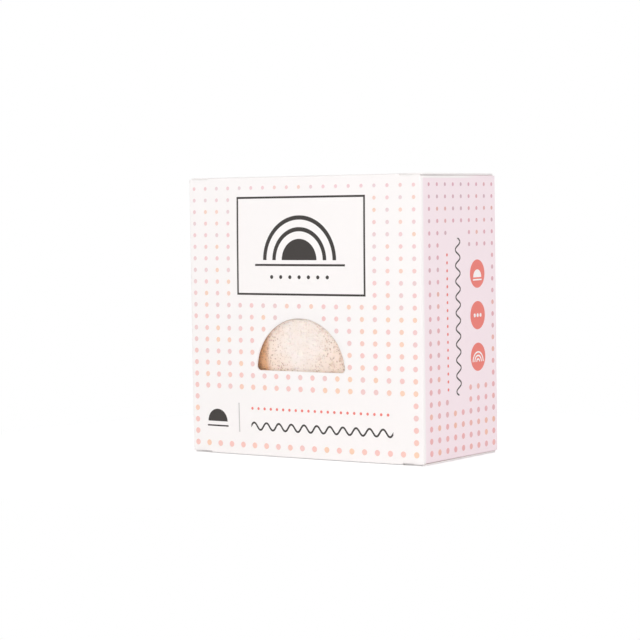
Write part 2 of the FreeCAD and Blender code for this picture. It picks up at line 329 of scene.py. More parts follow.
# %% Lamps
# Each lamp is (name, place in mm, width in mm, power in watts, colour).
AIM = Vector((0, 0, HEIGHT / 2))
LAMPS = (
    ("key", (-1050, -1500, 1100), 1200, 8.8, (1.0, 0.99, 0.975)),
    ("fill", (985, -1261, 300), 900, 11.5, (1.0, 0.97, 0.975)),
    ("side", (1050, 650, 650), 800, 2.6, (1.0, 0.94, 0.965)),
    ("back", (-500, 1100, 800), 800, 4.2, (1.0, 1.0, 1.0)),
)
for name, place, width, power, colour in LAMPS:
    lamp_data = bpy.data.lights.new(name, "AREA")
    lamp_data.size, lamp_data.energy, lamp_data.color = width * MM, power, colour
    lamp = bpy.data.objects.new(name, lamp_data)
    lamp.location = Vector(place) * MM
    lamp.rotation_euler = (AIM * MM - lamp.location).to_track_quat("-Z", "Y").to_euler()
    bpy.context.scene.collection.objects.link(lamp)
print(len(LAMPS), "lamps")

# %% [markdown]
# ## Board: surface and cut edge
# Folding boxboard has a smooth coated face, an uncoated off-white inside with visible
# fibres, and a soft layered edge where the die cut it. Each point of a board piece carries
# a "sheet" attribute: where it lay on the flat blank, in millimetres, with its depth in the
# board. A print could be laid on by Object coordinates, but then it would slide off a flap
# that opens. Read from the sheet, print and fibres bend with the board and stay put.

# %% Board grain
FIBRE_DETAIL, CLOUD_DETAIL = 5.0, 3.0

board_grain, given, wanted = new_group(
    "board grain", {"Sheet": (0.0, 0.0, 0.0), "Fibre Scale": 3.0, "Cloud Scale": 0.12},
    ("Height", "Cloud", "Fibre"))
fibre, cloud = (
    add_node(board_grain, "ShaderNodeTexNoise", Vector=given["Sheet"], Scale=given[scale],
             Detail=detail).outputs[0]
    for scale, detail in (("Fibre Scale", FIBRE_DETAIL), ("Cloud Scale", CLOUD_DETAIL)))
connect(board_grain, calc(board_grain, "ADD", fibre, cloud), wanted["Height"])
connect(board_grain, cloud, wanted["Cloud"])
connect(board_grain, fibre, wanted["Fibre"])
print("board grain has", len(board_grain.nodes), "nodes")

# %% Inside and cut edge
BOARD_WHITE, SIDE_WHITE = ink(251, 248, 247), ink(250, 235, 240)
INSIDE_DARK, INSIDE_PALE, INSIDE_CLOUD = ink(230, 217, 203), ink(248, 240, 230), ink(240, 229, 217)
PLY_DARK, PLY_PALE = ink(247, 244, 242), ink(253, 251, 250)
PLIES, PLY_LOW, PLY_HIGH = 4, 0.2, 0.8
COAT_FOOT, COAT_FULL = 0.16, 0.08
GRAIN_LOW, GRAIN_HIGH = 0.3, 0.7
INSIDE_CLOUD_LOW, INSIDE_SMOOTH, EDGE_SMOOTH, UNCOATED_ROUGH = 0.35, 0.82, 0.8, 0.95
UNCOATED_GLOSS = 0.2


def sheet_place(tree):
    """Read where a point lay on the flat blank, in millimetres: the whole place and its parts."""
    node = tree.nodes.new("ShaderNodeAttribute")
    node.attribute_name = "sheet"
    whole = node.outputs["Vector"]
    parts = add_node(tree, "ShaderNodeSeparateXYZ", Vector=whole).outputs
    return whole, parts["X"], parts["Y"], parts["Z"]


def fibre_roughness(tree, grain, smooth, rough):
    """Give a roughness that varies with the fibres."""
    return ramp(tree, grain["Fibre"], GRAIN_LOW, GRAIN_HIGH, smooth, rough)


def raise_grain(tree, shader, height, strength, depth):
    """Turn a height into a bumped normal; depth is in millimetres."""
    bump = add_node(tree, "ShaderNodeBump", Strength=strength, Distance=depth * MM, Height=height)
    connect(tree, bump.outputs[0], shader["Normal"])


def inside_finish():
    """Uncoated inside of the board, off-white with loose fibres."""
    material, tree, shader = new_finish("board inside")
    sheet = sheet_place(tree)[0]
    grain = use_group(tree, board_grain, Sheet=sheet, Fibre_Scale=2.2, Cloud_Scale=0.2)
    tone = mix(tree, grain["Fibre"], INSIDE_DARK, INSIDE_PALE)
    cloudy = ramp(tree, grain["Cloud"], INSIDE_CLOUD_LOW, GRAIN_HIGH)
    connect(tree, mix(tree, cloudy, tone, INSIDE_CLOUD), shader["Base Color"])
    connect(tree, fibre_roughness(tree, grain, INSIDE_SMOOTH, UNCOATED_ROUGH), shader["Roughness"])
    shader["Specular IOR Level"].default_value = UNCOATED_GLOSS
    raise_grain(tree, shader, grain["Height"], strength=0.5, depth=0.05)
    return material


def edge_finish():
    """Cut edge: pale plies, with a thin white coat on the printed side."""
    material, tree, shader = new_finish("board cut edge")
    sheet, _, _, depth = sheet_place(tree)
    grain = use_group(tree, board_grain, Sheet=sheet, Fibre_Scale=6.0, Cloud_Scale=1.0)
    plies = calc(tree, "SINE", calc(tree, "MULTIPLY", depth, 2 * math.pi * PLIES / BOARD))
    tone = mix(tree, ramp(tree, plies, -1.0, 1.0, PLY_LOW, PLY_HIGH), PLY_DARK, PLY_PALE)
    coat = ramp(tree, depth, -COAT_FOOT * BOARD, -COAT_FULL * BOARD)
    connect(tree, mix(tree, coat, tone, BOARD_WHITE), shader["Base Color"])
    connect(tree, fibre_roughness(tree, grain, EDGE_SMOOTH, UNCOATED_ROUGH), shader["Roughness"])
    shader["Specular IOR Level"].default_value = UNCOATED_GLOSS
    raise_grain(tree, shader, grain["Fibre"], strength=0.4, depth=0.04)
    return material


board_inside, board_edge = inside_finish(), edge_finish()
print("board finishes:", board_inside.name, "and", board_edge.name)

# %% [markdown]
# ## Print: dots, rules and plain figures
# The print is a grid of small dots that grow from top to bottom and shift from pink to
# coral, with blank fields for a frame, rules and a few plain figures. A picture of the
# print would be the usual way, but a formula stays sharp at any distance. Each figure is
# built of boxes, discs and waves, and each of those is one node group.

# %% Boxes, discs and waves
INK_SOFT = 0.035
WAVE_ASIDE = 10.0

ink_box, given, wanted = new_group(
    "ink box", {"Across": 0.0, "Up": 0.0, "Low Across": -1.0, "High Across": 1.0, "Low Up": -1.0,
                "High Up": 1.0, "Soft": INK_SOFT}, ("Mask",))
sides = []
for axis in ("Across", "Up"):
    soft = calc(ink_box, "MULTIPLY", given["Soft"], -1.0)
    from_low = calc(ink_box, "SUBTRACT", given[axis], given["Low " + axis])
    to_high = calc(ink_box, "SUBTRACT", given["High " + axis], given[axis])
    sides += [ramp(ink_box, depth, soft, given["Soft"]) for depth in (from_low, to_high)]
connect(ink_box, all_of(ink_box, *sides), wanted["Mask"])

ink_disc, given, wanted = new_group(
    "ink disc", {"Across": 0.0, "Up": 0.0, "Centre Across": 0.0, "Centre Up": 0.0, "Radius": 1.0},
    ("Mask", "Above"))
off_across = calc(ink_disc, "SUBTRACT", given["Across"], given["Centre Across"])
off_up = calc(ink_disc, "SUBTRACT", given["Up"], given["Centre Up"])
inward = calc(ink_disc, "SUBTRACT", given["Radius"], distance(ink_disc, off_across, off_up))
whole_disc = ramp(ink_disc, inward, -INK_SOFT, INK_SOFT)
connect(ink_disc, whole_disc, wanted["Mask"])
above = ramp(ink_disc, off_up, -INK_SOFT, INK_SOFT)
connect(ink_disc, all_of(ink_disc, whole_disc, above), wanted["Above"])

ink_wave, given, wanted = new_group(
    "ink wave", {"Along": 0.0, "Aside": 0.0, "Start": 0.0, "End": 30.0, "Pitch": 4.4, "Swing": 1.2,
                 "Line": 0.5}, ("Mask",))
run = calc(ink_wave, "SUBTRACT", given["Along"], given["Start"])
turns = calc(ink_wave, "MULTIPLY", run, calc(ink_wave, "DIVIDE", 2 * math.pi, given["Pitch"]))
swing_round = calc(ink_wave, "MULTIPLY", given["Swing"], 2 * math.pi)
steepest = calc(ink_wave, "DIVIDE", swing_round, given["Pitch"])
slope = calc(ink_wave, "MULTIPLY", calc(ink_wave, "COSINE", turns), steepest)
crest = calc(ink_wave, "MULTIPLY", calc(ink_wave, "SINE", turns), given["Swing"])
aside = calc(ink_wave, "ABSOLUTE", calc(ink_wave, "SUBTRACT", given["Aside"], crest))
away = calc(ink_wave, "DIVIDE", aside, distance(ink_wave, slope, 1.0))
inward = calc(ink_wave, "SUBTRACT", calc(ink_wave, "MULTIPLY", given["Line"], 0.5), away)
within = use_group(ink_wave, ink_box, Across=given["Along"], Up=given["Aside"], Low_Across=given["Start"],
                   High_Across=given["End"], Low_Up=-WAVE_ASIDE, High_Up=WAVE_ASIDE)["Mask"]
connect(ink_wave, all_of(ink_wave, ramp(ink_wave, inward, -INK_SOFT, INK_SOFT), within), wanted["Mask"])
print("ink masks:", ink_box.name, ink_disc.name, ink_wave.name)

# %% [markdown]
# A dot is drawn by finding the nearest grid point and measuring the distance to it. The
# group also gives the dot's centre and a chance number for its tint. Blank fields are
# tested at the centre, so a dot is whole or left out, as on a press plate.

# %% Dot grid
PITCH_ACROSS, PITCH_UP = 4.2007, 3.356
TOP_DOT, BOTTOM_DOT = 0.52, 0.85

dot_grid, given, wanted = new_group(
    "dot grid", {"Across": 0.0, "Up": 0.0, "First Across": 0.0, "First Up": 0.0, "Low": 0.0,
                 "High": HEIGHT, "Low Radius": BOTTOM_DOT, "High Radius": TOP_DOT},
    ("Mask", "Tint", "Centre Across", "Centre Up"))
centres, numbers, offs = [], [], []
for axis, pitch in (("Across", PITCH_ACROSS), ("Up", PITCH_UP)):
    first = given["First " + axis]
    steps = calc(dot_grid, "DIVIDE", calc(dot_grid, "SUBTRACT", given[axis], first), pitch)
    numbers.append(calc(dot_grid, "ROUND", steps))
    centres.append(calc(dot_grid, "ADD", first, calc(dot_grid, "MULTIPLY", numbers[-1], pitch)))
    offs.append(calc(dot_grid, "SUBTRACT", given[axis], centres[-1]))
    connect(dot_grid, centres[-1], wanted["Centre " + axis])
radius = ramp(dot_grid, centres[1], given["Low"], given["High"], given["Low Radius"], given["High Radius"],
              smooth=False)
inward = calc(dot_grid, "SUBTRACT", radius, distance(dot_grid, *offs))
connect(dot_grid, ramp(dot_grid, inward, -INK_SOFT, INK_SOFT), wanted["Mask"])
cell = add_node(dot_grid, "ShaderNodeCombineXYZ", X=numbers[0], Y=numbers[1])
chance = add_node(dot_grid, "ShaderNodeTexWhiteNoise", Vector=cell.outputs[0])
connect(dot_grid, chance.outputs["Value"], wanted["Tint"])
print("dots every", PITCH_ACROSS, "by", PITCH_UP, "mm")

# %% [markdown]
# A printed face is gathered ink by ink, as on a press: each ink has a mask, and the masks
# are laid over the coated board in turn. Dots take one of three tints by chance, from a
# set for the top of the carton and a set for its bottom. Ink is a little glossier than the
# bare coat.

# %% The printed face
CHARCOAL, CORAL, GREY = ink(60, 56, 54), ink(236, 130, 120), ink(196, 193, 192)
FRONT_INKS = ((ink(232, 215, 219), ink(240, 209, 214), ink(244, 214, 197)),
              (ink(243, 204, 200), ink(247, 201, 193), ink(249, 211, 184)))
SIDE_INKS = ((ink(210, 180, 191), ink(221, 173, 188), ink(226, 177, 170)),
             (ink(233, 185, 187), ink(238, 181, 181), ink(242, 192, 171)))
FOLD_FADE, PRINT_BLEED = 0.4, 1.0
CLOUD_TONE, CLOUD_SHARE = ink(225, 222, 221), 0.03
COAT_SMOOTH, COAT_ROUGH, INK_SMOOTHER, COAT_GLOSS = 0.58, 0.66, 0.06, 0.3


class Print:
    """A printed face in the making: it gathers masks of each ink and joins them into a finish."""

    def __init__(self, name, ground=BOARD_WHITE, dot_inks=FRONT_INKS):
        self.material, self.tree, self.shader = new_finish(name)
        self.ground, self.dot_inks = ground, dot_inks
        self.sheet, self.across, self.up, _ = sheet_place(self.tree)
        self.inks = []

    def box(self, low_across, high_across, low_up, high_up, at=None, soft=INK_SOFT):
        """Give the mask of a box."""
        across, up = at or (self.across, self.up)
        return use_group(self.tree, ink_box, Across=across, Up=up, Low_Across=low_across,
                         High_Across=high_across, Low_Up=low_up, High_Up=high_up, Soft=soft)["Mask"]

    def disc(self, centre_across, centre_up, radius, half=False, at=None):
        """Give the mask of a disc, or of its upper half."""
        across, up = at or (self.across, self.up)
        found = use_group(self.tree, ink_disc, Across=across, Up=up, Centre_Across=centre_across,
                          Centre_Up=centre_up, Radius=radius)
        return found["Above" if half else "Mask"]

    def frame(self, low_across, high_across, low_up, high_up, line):
        """Give the mask of a frame."""
        outer = self.box(low_across, high_across, low_up, high_up)
        inner = self.box(low_across + line, high_across - line, low_up + line, high_up - line)
        return all_of(self.tree, outer, none_of(self.tree, inner))

    def arch(self, centre_across, centre_up, radius, line):
        """Give the mask of a half ring."""
        outer = self.disc(centre_across, centre_up, radius, half=True)
        inner = self.disc(centre_across, centre_up, radius - line)
        return all_of(self.tree, outer, none_of(self.tree, inner))

    def beads(self, first, step, count, radius):
        """Give the masks of a row of beads; first and step are (across, up)."""
        return [self.disc(first[0] + number * step[0], first[1] + number * step[1], radius)
                for number in range(count)]

    def wave(self, along, aside, **shape):
        """Give the mask of a wave."""
        return use_group(self.tree, ink_wave, Along=along, Aside=aside, **shape)["Mask"]

    def add(self, colour, *masks):
        """Print the masks in one ink."""
        self.inks.append((any_of(self.tree, *masks), colour))

    def add_fold(self, low_across, high_across):
        """Carry the front's white over an upright fold."""
        fold = self.box(low_across, high_across, -PRINT_BLEED, HEIGHT + PRINT_BLEED, soft=FOLD_FADE)
        self.add(BOARD_WHITE, fold)

    def add_dots(self, first, field, blanks=(), low=0.0, high=HEIGHT, sizes=(BOTTOM_DOT, TOP_DOT)):
        """Print dots inside the field, apart from those whose centres lie in a blank."""
        tree = self.tree
        dots = use_group(tree, dot_grid, Across=self.across, Up=self.up, First_Across=first[0],
                         First_Up=first[1], Low=low, High=high, Low_Radius=sizes[0], High_Radius=sizes[1])
        at = (dots["Centre Across"], dots["Centre Up"])
        masks = [dots["Mask"], self.box(*field, at=at)]
        if blanks:
            masks.append(none_of(tree, *(blank(at) for blank in blanks)))
        first_half, second_half = ramp(tree, dots["Tint"], 0.0, 0.5), ramp(tree, dots["Tint"], 0.5, 1.0)
        top, bottom = (mix(tree, second_half, mix(tree, first_half, grey, pink), peach)
                       for grey, pink, peach in self.dot_inks)
        rise = ramp(tree, dots["Centre Up"], low, high, smooth=False)
        self.inks.append((all_of(tree, *masks), mix(tree, rise, bottom, top)))

    def finish(self):
        """Join the inks on the coated board."""
        tree, shader = self.tree, self.shader
        grain = use_group(tree, board_grain, Sheet=self.sheet, Fibre_Scale=3.5, Cloud_Scale=0.1)
        cloudy = ramp(tree, grain["Cloud"], GRAIN_LOW, GRAIN_HIGH, 0.0, CLOUD_SHARE)
        whole = mix(tree, cloudy, self.ground, CLOUD_TONE)
        for mask, colour in self.inks:
            whole = mix(tree, mask, whole, colour)
        connect(tree, whole, shader["Base Color"])
        rough = fibre_roughness(tree, grain, COAT_SMOOTH, COAT_ROUGH)
        if self.inks:
            inked = any_of(tree, *(mask for mask, _ in self.inks))
            rough = calc(tree, "SUBTRACT", rough, calc(tree, "MULTIPLY", inked, INK_SMOOTHER))
        connect(tree, rough, shader["Roughness"])
        shader["Specular IOR Level"].default_value = COAT_GLOSS
        raise_grain(tree, shader, grain["Height"], strength=0.25, depth=0.03)
        return self.material


print("inks for", len(FRONT_INKS), "sets of dots on the front and", len(SIDE_INKS), "on the sides")

# %% [markdown]
# The front carries a thin framed label over the window and a narrow band under it. The
# label holds a plain figure, a half-ball with two ripples over a row of beads, and the
# band a small half-ball, a rule, a row of beads and a wave. The dots leave out whole
# blocks of rows and columns for them, counted from the first dot at the top left.

# %% Front print
WINDOW_RADIUS, WINDOW_SILL, WINDOW_CORNER, WINDOW_STRETCH = 15.0, 24.8, 1.2, 1.014
WINDOW_MARGIN = 1.5
FIRST_FRONT_DOT, FRONT_FIELD = (-37.92, 76.84), (-39.0, 39.0, 1.5, HEIGHT - 1.5)
LABEL_BLOCK, BAND_BLOCK = ((4, 14), (1, 9)), ((1, 17), (18, 21))
LABEL, LABEL_LINE = (-22.09, 22.19, 46.27, 74.32), 0.58
FIGURE_UP, FIGURE_RADIUS, RIPPLES, RIPPLE_LINE = 10.0, 6.0, (9.3, 12.6), 1.2
GROUND_HALF, GROUND_LOW, GROUND_HIGH = 15.5, -1.7, -1.1
LABEL_BEADS, BEAD_STEP, BEAD_UP, BEAD_RADIUS = 7, 3.2, 5.2, 0.55
BAND_WAVE_UP = 8.6
BAND_WAVE = {"Start": -18.0, "End": 30.4, "Pitch": 4.4, "Swing": 1.0, "Line": 0.55}
BAND_FIGURE, BAND_GROUND = (-30.3, 9.4, 3.6), (-34.2, -26.4, 7.9, 8.35)
BAND_BEADS = ((-17.4, 13.7), (2.2, 0.0), 22, 0.42)
RULE_ACROSS, RULE_LOW, RULE_HIGH, RULE_LINE = -22.3, 6.66, 15.1, 0.36


def dot_block(face, columns, rows, first):
    """Give a blank for a block of dots, named by its first and last column and row."""
    low = first[0] + (columns[0] - 0.5) * PITCH_ACROSS, first[1] - (rows[1] + 0.5) * PITCH_UP
    high = first[0] + (columns[1] + 0.5) * PITCH_ACROSS, first[1] - (rows[0] - 0.5) * PITCH_UP
    return lambda at: face.box(low[0], high[0], low[1], high[1], at=at)


def add_label(front):
    """Print the framed label with its figure."""
    middle = (LABEL[0] + LABEL[1]) / 2
    ground = LABEL[2] + FIGURE_UP
    first_bead = (middle - BEAD_STEP * (LABEL_BEADS - 1) / 2, LABEL[2] + BEAD_UP)
    front.add(CHARCOAL, front.frame(*LABEL, LABEL_LINE),
              front.disc(middle, ground, FIGURE_RADIUS, half=True),
              *(front.arch(middle, ground, radius, RIPPLE_LINE) for radius in RIPPLES),
              front.box(middle - GROUND_HALF, middle + GROUND_HALF, ground + GROUND_LOW,
                        ground + GROUND_HIGH),
              *front.beads(first_bead, (BEAD_STEP, 0.0), LABEL_BEADS, BEAD_RADIUS))


def add_band(front):
    """Print the band under the window."""
    aside = calc(front.tree, "SUBTRACT", front.up, BAND_WAVE_UP)
    front.add(CHARCOAL, front.wave(front.across, aside, **BAND_WAVE), front.disc(*BAND_FIGURE, half=True),
              front.box(*BAND_GROUND))
    half = RULE_LINE / 2
    front.add(GREY, front.box(RULE_ACROSS - half, RULE_ACROSS + half, RULE_LOW, RULE_HIGH))
    front.add(CORAL, *front.beads(*BAND_BEADS))


def front_print():
    """Dots, label and band of the front."""
    front = Print("front print")
    front.add_dots(FIRST_FRONT_DOT, FRONT_FIELD, (
        dot_block(front, *LABEL_BLOCK, FIRST_FRONT_DOT), dot_block(front, *BAND_BLOCK, FIRST_FRONT_DOT),
        lambda at: front.disc(0.0, WINDOW_SILL, WINDOW_RADIUS + WINDOW_MARGIN, half=True, at=at)))
    add_label(front)
    add_band(front)
    return front.finish()


front_face = front_print()
print("front print has", len(front_face.node_tree.nodes), "nodes")

# %% [markdown]
# The right side has three coral discs in a blank column, each with a small white figure,
# beside a wave and a row of beads that run down the panel. Its ground is pinker than the
# front's. The front's white runs round the corner and ends just past the fold, as where a
# printed tint stops short of a crease.

# %% Right side print
FOLD_PALE = 1.1
FIRST_SIDE_DOT, SIDE_FIELD = (-15.98, 76.91), (-18.5, 18.5, 1.5, HEIGHT - 1.5)
SIDE_BLOCKS = (((2, 7), (6, 16)), ((2, 4), (5, 17)), ((3, 4), (4, 18)))
DISC_ACROSS, DISC_RADIUS, DISC_HEIGHTS = 9.3, 4.0, (51.68, 39.94, 28.15)
DOME_UP, DOME_RADIUS = -1.0, 2.2
DOME_GROUND_HALF, DOME_GROUND_LOW, DOME_GROUND_HIGH = 2.4, -1.9, -1.5
DROPS, DROP_STEP, DROP_RADIUS = 3, 1.6, 0.55
RINGS_UP, RINGS, RING_LINE = -1.4, (1.0, 2.0, 3.0), 0.45
SIDE_WAVE_ACROSS = -1.2
SIDE_WAVE = {"Start": 18.0, "End": 62.0, "Pitch": 4.4, "Swing": 1.2, "Line": 0.5}
SIDE_BEADS = ((-6.9, 20.0), (0.0, 2.2), 18, 0.45)


def add_discs(side):
    """Print the three coral discs, with a half-ball, drops and rings in them."""
    side.add(CORAL, *(side.disc(DISC_ACROSS, up, DISC_RADIUS) for up in DISC_HEIGHTS))
    high, middle, low = DISC_HEIGHTS
    dome = side.disc(DISC_ACROSS, high + DOME_UP, DOME_RADIUS, half=True)
    left, right = DISC_ACROSS - DOME_GROUND_HALF, DISC_ACROSS + DOME_GROUND_HALF
    ground = side.box(left, right, high + DOME_GROUND_LOW, high + DOME_GROUND_HIGH)
    drops = side.beads((DISC_ACROSS - DROP_STEP, middle), (DROP_STEP, 0.0), DROPS, DROP_RADIUS)
    rings = [side.arch(DISC_ACROSS, low + RINGS_UP, size, RING_LINE) for size in RINGS]
    side.add(BOARD_WHITE, dome, ground, *drops, *rings)


def right_print():
    """Dots, discs, wave and beads of the right side."""
    side = Print("right side print", SIDE_WHITE, SIDE_INKS)
    side.add_dots(FIRST_SIDE_DOT, SIDE_FIELD,
                  [dot_block(side, columns, rows, FIRST_SIDE_DOT) for columns, rows in SIDE_BLOCKS])
    side.add_fold(-BACK - PRINT_BLEED, FOLD_PALE - BACK)
    add_discs(side)
    down = calc(side.tree, "SUBTRACT", HEIGHT, side.up)
    aside = calc(side.tree, "SUBTRACT", side.across, SIDE_WAVE_ACROSS)
    side.add(CHARCOAL, side.wave(down, aside, **SIDE_WAVE))
    side.add(CORAL, *side.beads(*SIDE_BEADS))
    return side.finish()


right_face = right_print()
print("right side print has", len(right_face.node_tree.nodes), "nodes")

# %% [markdown]
# The left side and the back repeat the dots round a framed field, with the half-ball over
# a row of beads in its middle. The figure's parts are all given as shares of its radius,
# so that one function prints it large on the back and small on the side.

# %% Left side and back prints
FRAME_MARGIN = 1.6
FRAMED_RIPPLE, FRAMED_RIPPLE_LINE = 1.55, 0.2
FRAMED_GROUND_HALF, FRAMED_GROUND_LOW, FRAMED_GROUND_HIGH = 2.0, 0.28, 0.18
FRAMED_BEADS, FRAMED_BEAD_STEP, FRAMED_BEAD_DROP, FRAMED_BEAD_RADIUS = 7, 0.5, 0.75, 0.1
LEFT_DOT, LEFT_FRAME, LEFT_FIGURE = (-4 * PITCH_ACROSS, 76.91), (-10.4, 10.4, 15.0, 65.0), 4.0
BACK_DOT, BACK_FRAME, BACK_FIGURE = (-9 * PITCH_ACROSS, 76.84), (-27.0, 27.0, 12.0, 68.0), 8.0
BACK_FIELD = (-38.5, 38.5, 1.5, HEIGHT - 1.5)


def framed_print(face, first, field, frame_box, figure):
    """Print dots round a framed field with one plain figure, whose radius is given."""
    low_across, high_across, low_up, high_up = frame_box
    blank = (low_across - FRAME_MARGIN, high_across + FRAME_MARGIN,
             low_up - FRAME_MARGIN, high_up + FRAME_MARGIN)
    face.add_dots(first, field, [lambda at: face.box(*blank, at=at)])
    middle = (low_up + high_up) / 2
    half = FRAMED_GROUND_HALF * figure
    low, high = middle - FRAMED_GROUND_LOW * figure, middle - FRAMED_GROUND_HIGH * figure
    face.add(CHARCOAL, face.frame(*frame_box, LABEL_LINE), face.disc(0.0, middle, figure, half=True),
             face.arch(0.0, middle, FRAMED_RIPPLE * figure, FRAMED_RIPPLE_LINE * figure),
             face.box(-half, half, low, high))
    step = FRAMED_BEAD_STEP * figure
    first_bead = (-step * (FRAMED_BEADS - 1) / 2, middle - FRAMED_BEAD_DROP * figure)
    face.add(CORAL, *face.beads(first_bead, (step, 0.0), FRAMED_BEADS, FRAMED_BEAD_RADIUS * figure))
    return face.finish()


left_side = Print("left side print", SIDE_WHITE, SIDE_INKS)
left_side.add_fold(BACK - FOLD_PALE, BACK + PRINT_BLEED)
left_face = framed_print(left_side, LEFT_DOT, SIDE_FIELD, LEFT_FRAME, LEFT_FIGURE)
back_face = framed_print(Print("back print"), BACK_DOT, BACK_FIELD, BACK_FRAME, BACK_FIGURE)
print("prints:", left_face.name, "and", back_face.name)

# %% [markdown]
# The lids carry dots alone, in the size and tint of the nearest rows of the front. The
# flaps are plain. Along the crease of a top dust flap, a white band is a painted highlight
# that is stronger towards the front.

# %% Lid and flap prints
LID_DOT, LID_FIELD = (-9 * PITCH_ACROSS, 3.6), (-39.0, 39.0, 2.4, 38.0)
TOP_RISE, BOTTOM_RISE, LONG_RANGE = 0.97, 0.03, 1000
# Where the painted crease highlight lies up the flap's sheet, and where it fades towards the rear, in mm.
HIGHLIGHT_LOW, HIGHLIGHT_HIGH, HIGHLIGHT_SOFT = 0.1, 0.9, 0.25
HIGHLIGHT_START, HIGHLIGHT_END = 0.0, -12.0


def lid_print(name, size, rise):
    """Dots of one size; rise says how far up the colour range they lie, the same all over the lid."""
    face = Print(name)
    face.add_dots(LID_DOT, LID_FIELD, low=-LONG_RANGE * rise, high=LONG_RANGE * (1 - rise),
                  sizes=(size, size))
    return face.finish()


def crease_highlight_print(side, front):
    """Plain side board with a painted highlight along its crease; front is +1 where the front lies across,
    and else -1.
    """
    face = Print(f"painted crease highlight {side} board", SIDE_WHITE)
    forward = calc(face.tree, "MULTIPLY", face.across, front)
    band = face.box(-BACK, BACK, HIGHLIGHT_LOW, HIGHLIGHT_HIGH, soft=HIGHLIGHT_SOFT)
    # Painted highlight: a white band along the crease that fades out towards the rear.
    face.add(BOARD_WHITE, all_of(face.tree, band, ramp(face.tree, forward, HIGHLIGHT_END, HIGHLIGHT_START)))
    return face.finish()


top_lid_face = lid_print("top lid print", TOP_DOT, TOP_RISE)
bottom_lid_face = lid_print("bottom lid print", BOTTOM_DOT, BOTTOM_RISE)
flap_face = Print("plain coated board").finish()
# The top dust flaps carry the painted crease highlight; the bottom ones have none.
top_dust_faces = [crease_highlight_print("left", 1), crease_highlight_print("right", -1)]
bottom_dust_faces = [Print("plain side board", SIDE_WHITE).finish()] * 2
print("prints:", top_lid_face.name, bottom_lid_face.name, flap_face.name)

# %% [markdown]
# ## Folding the carton
# A carton is die-cut flat, creased and folded. Its panels could be bevelled boxes, but then
# print and fibres would break at each fold, so the pieces are made as the real one is: a
# flat outline is cut, scored where it will bend, given the board's thickness, and rolled
# round a fold. Cutting and scoring are bmesh operators.

# %% Cut and score
ACROSS, UP = 0, 1
FOLD_STEPS, CORNER_STEPS = 6, 8
QUARTER, EIGHTH = math.pi / 2, math.pi / 4
SNAP = 0.002


def cut_sheet(corners):
    """Cut a flat outline; a corner is (across, up), or (across, up, radius) where it is rounded."""
    bm = bmesh.new()
    spots = [bm.verts.new((corner[0], corner[1], 0)) for corner in corners]
    bm.faces.new(spots)
    for spot, corner in zip(spots, corners):
        if len(corner) == 3:
            bmesh.ops.bevel(bm, geom=[spot], offset=corner[2], offset_type="OFFSET", segments=CORNER_STEPS,
                            profile=0.5, affect="VERTICES", material=-1)
    bm.normal_update()
    if bm.faces[:][0].normal.z < 0:
        bmesh.ops.reverse_faces(bm, faces=bm.faces[:])
    return bm


def score(bm, axis, places):
    """Cut the sheet along straight lines, so that it can bend there."""
    for place in places:
        point, normal = Vector(), Vector()
        point[axis], normal[axis] = place, 1
        bmesh.ops.bisect_plane(bm, geom=bm.verts[:] + bm.edges[:] + bm.faces[:], dist=SNAP, plane_co=point,
                               plane_no=normal)
    bmesh.ops.remove_doubles(bm, verts=bm.verts[:], dist=SNAP)


def fold_lines(start, angle, way=1):
    """Give the score lines of a fold that starts there."""
    return [start + way * FOLD_RADIUS * angle * step / FOLD_STEPS for step in range(FOLD_STEPS + 1)]


print("a right-angled fold takes", round(fold_lines(0, QUARTER)[-1], 2), "mm of board")

# %% [markdown]
# The sheet is thickened by extruding it downwards. Each face then knows by its direction
# whether it is printed, inside or cut, and the free rims on the printed side are rounded.
# The roll is one formula for all folds, and it moves points only, so what a point notes
# about its place on the flat sheet stays true.

# %% Thicken, roll and place
PRINTED, INSIDE, CUT = 0, 1, 2
FACING = 0.5
RIM_ROUND, RIM_STEPS = 0.25, 2
SHARP = math.radians(50)


def thicken(bm, free=None):
    """Give the sheet its thickness, round its free rims, and note on each point where it lay."""
    grown = bmesh.ops.extrude_face_region(bm, geom=bm.faces[:], use_keep_orig=True)
    lower = [item for item in grown["geom"] if isinstance(item, bmesh.types.BMVert)]
    bmesh.ops.translate(bm, vec=(0, 0, -BOARD), verts=lower)
    bmesh.ops.recalc_face_normals(bm, faces=bm.faces[:])
    for face in bm.faces:
        lift = face.normal.z
        face.material_index = PRINTED if lift > FACING else INSIDE if lift < -FACING else CUT
    if free:
        rims = [edge for edge in bm.edges if all(free(spot.co) for spot in edge.verts)
                and {face.material_index for face in edge.link_faces} == {PRINTED, CUT}]
        rounded = bmesh.ops.bevel(bm, geom=rims, offset=RIM_ROUND, offset_type="OFFSET",
                                  segments=RIM_STEPS, profile=0.5, affect="EDGES", material=-1)
        for face in rounded["faces"]:
            face.material_index = PRINTED
        bmesh.ops.remove_doubles(bm, verts=bm.verts[:], dist=SNAP)
    layer = bm.verts.layers.float_vector.new("sheet")
    for spot in bm.verts:
        spot[layer] = spot.co


def roll(bm, axis, start, angle, way=1):
    """Bend what lies past a line round the fold, away from the printed face."""
    for spot in bm.verts:
        past = (spot.co[axis] - start) * way
        if past <= 0:
            continue
        turned = min(past / FOLD_RADIUS, angle)
        beyond = past - FOLD_RADIUS * turned
        reach = FOLD_RADIUS + spot.co.z
        spot.co[axis] = start + way * (reach * math.sin(turned) + beyond * math.cos(turned))
        spot.co.z = reach * math.cos(turned) - FOLD_RADIUS - beyond * math.sin(turned)


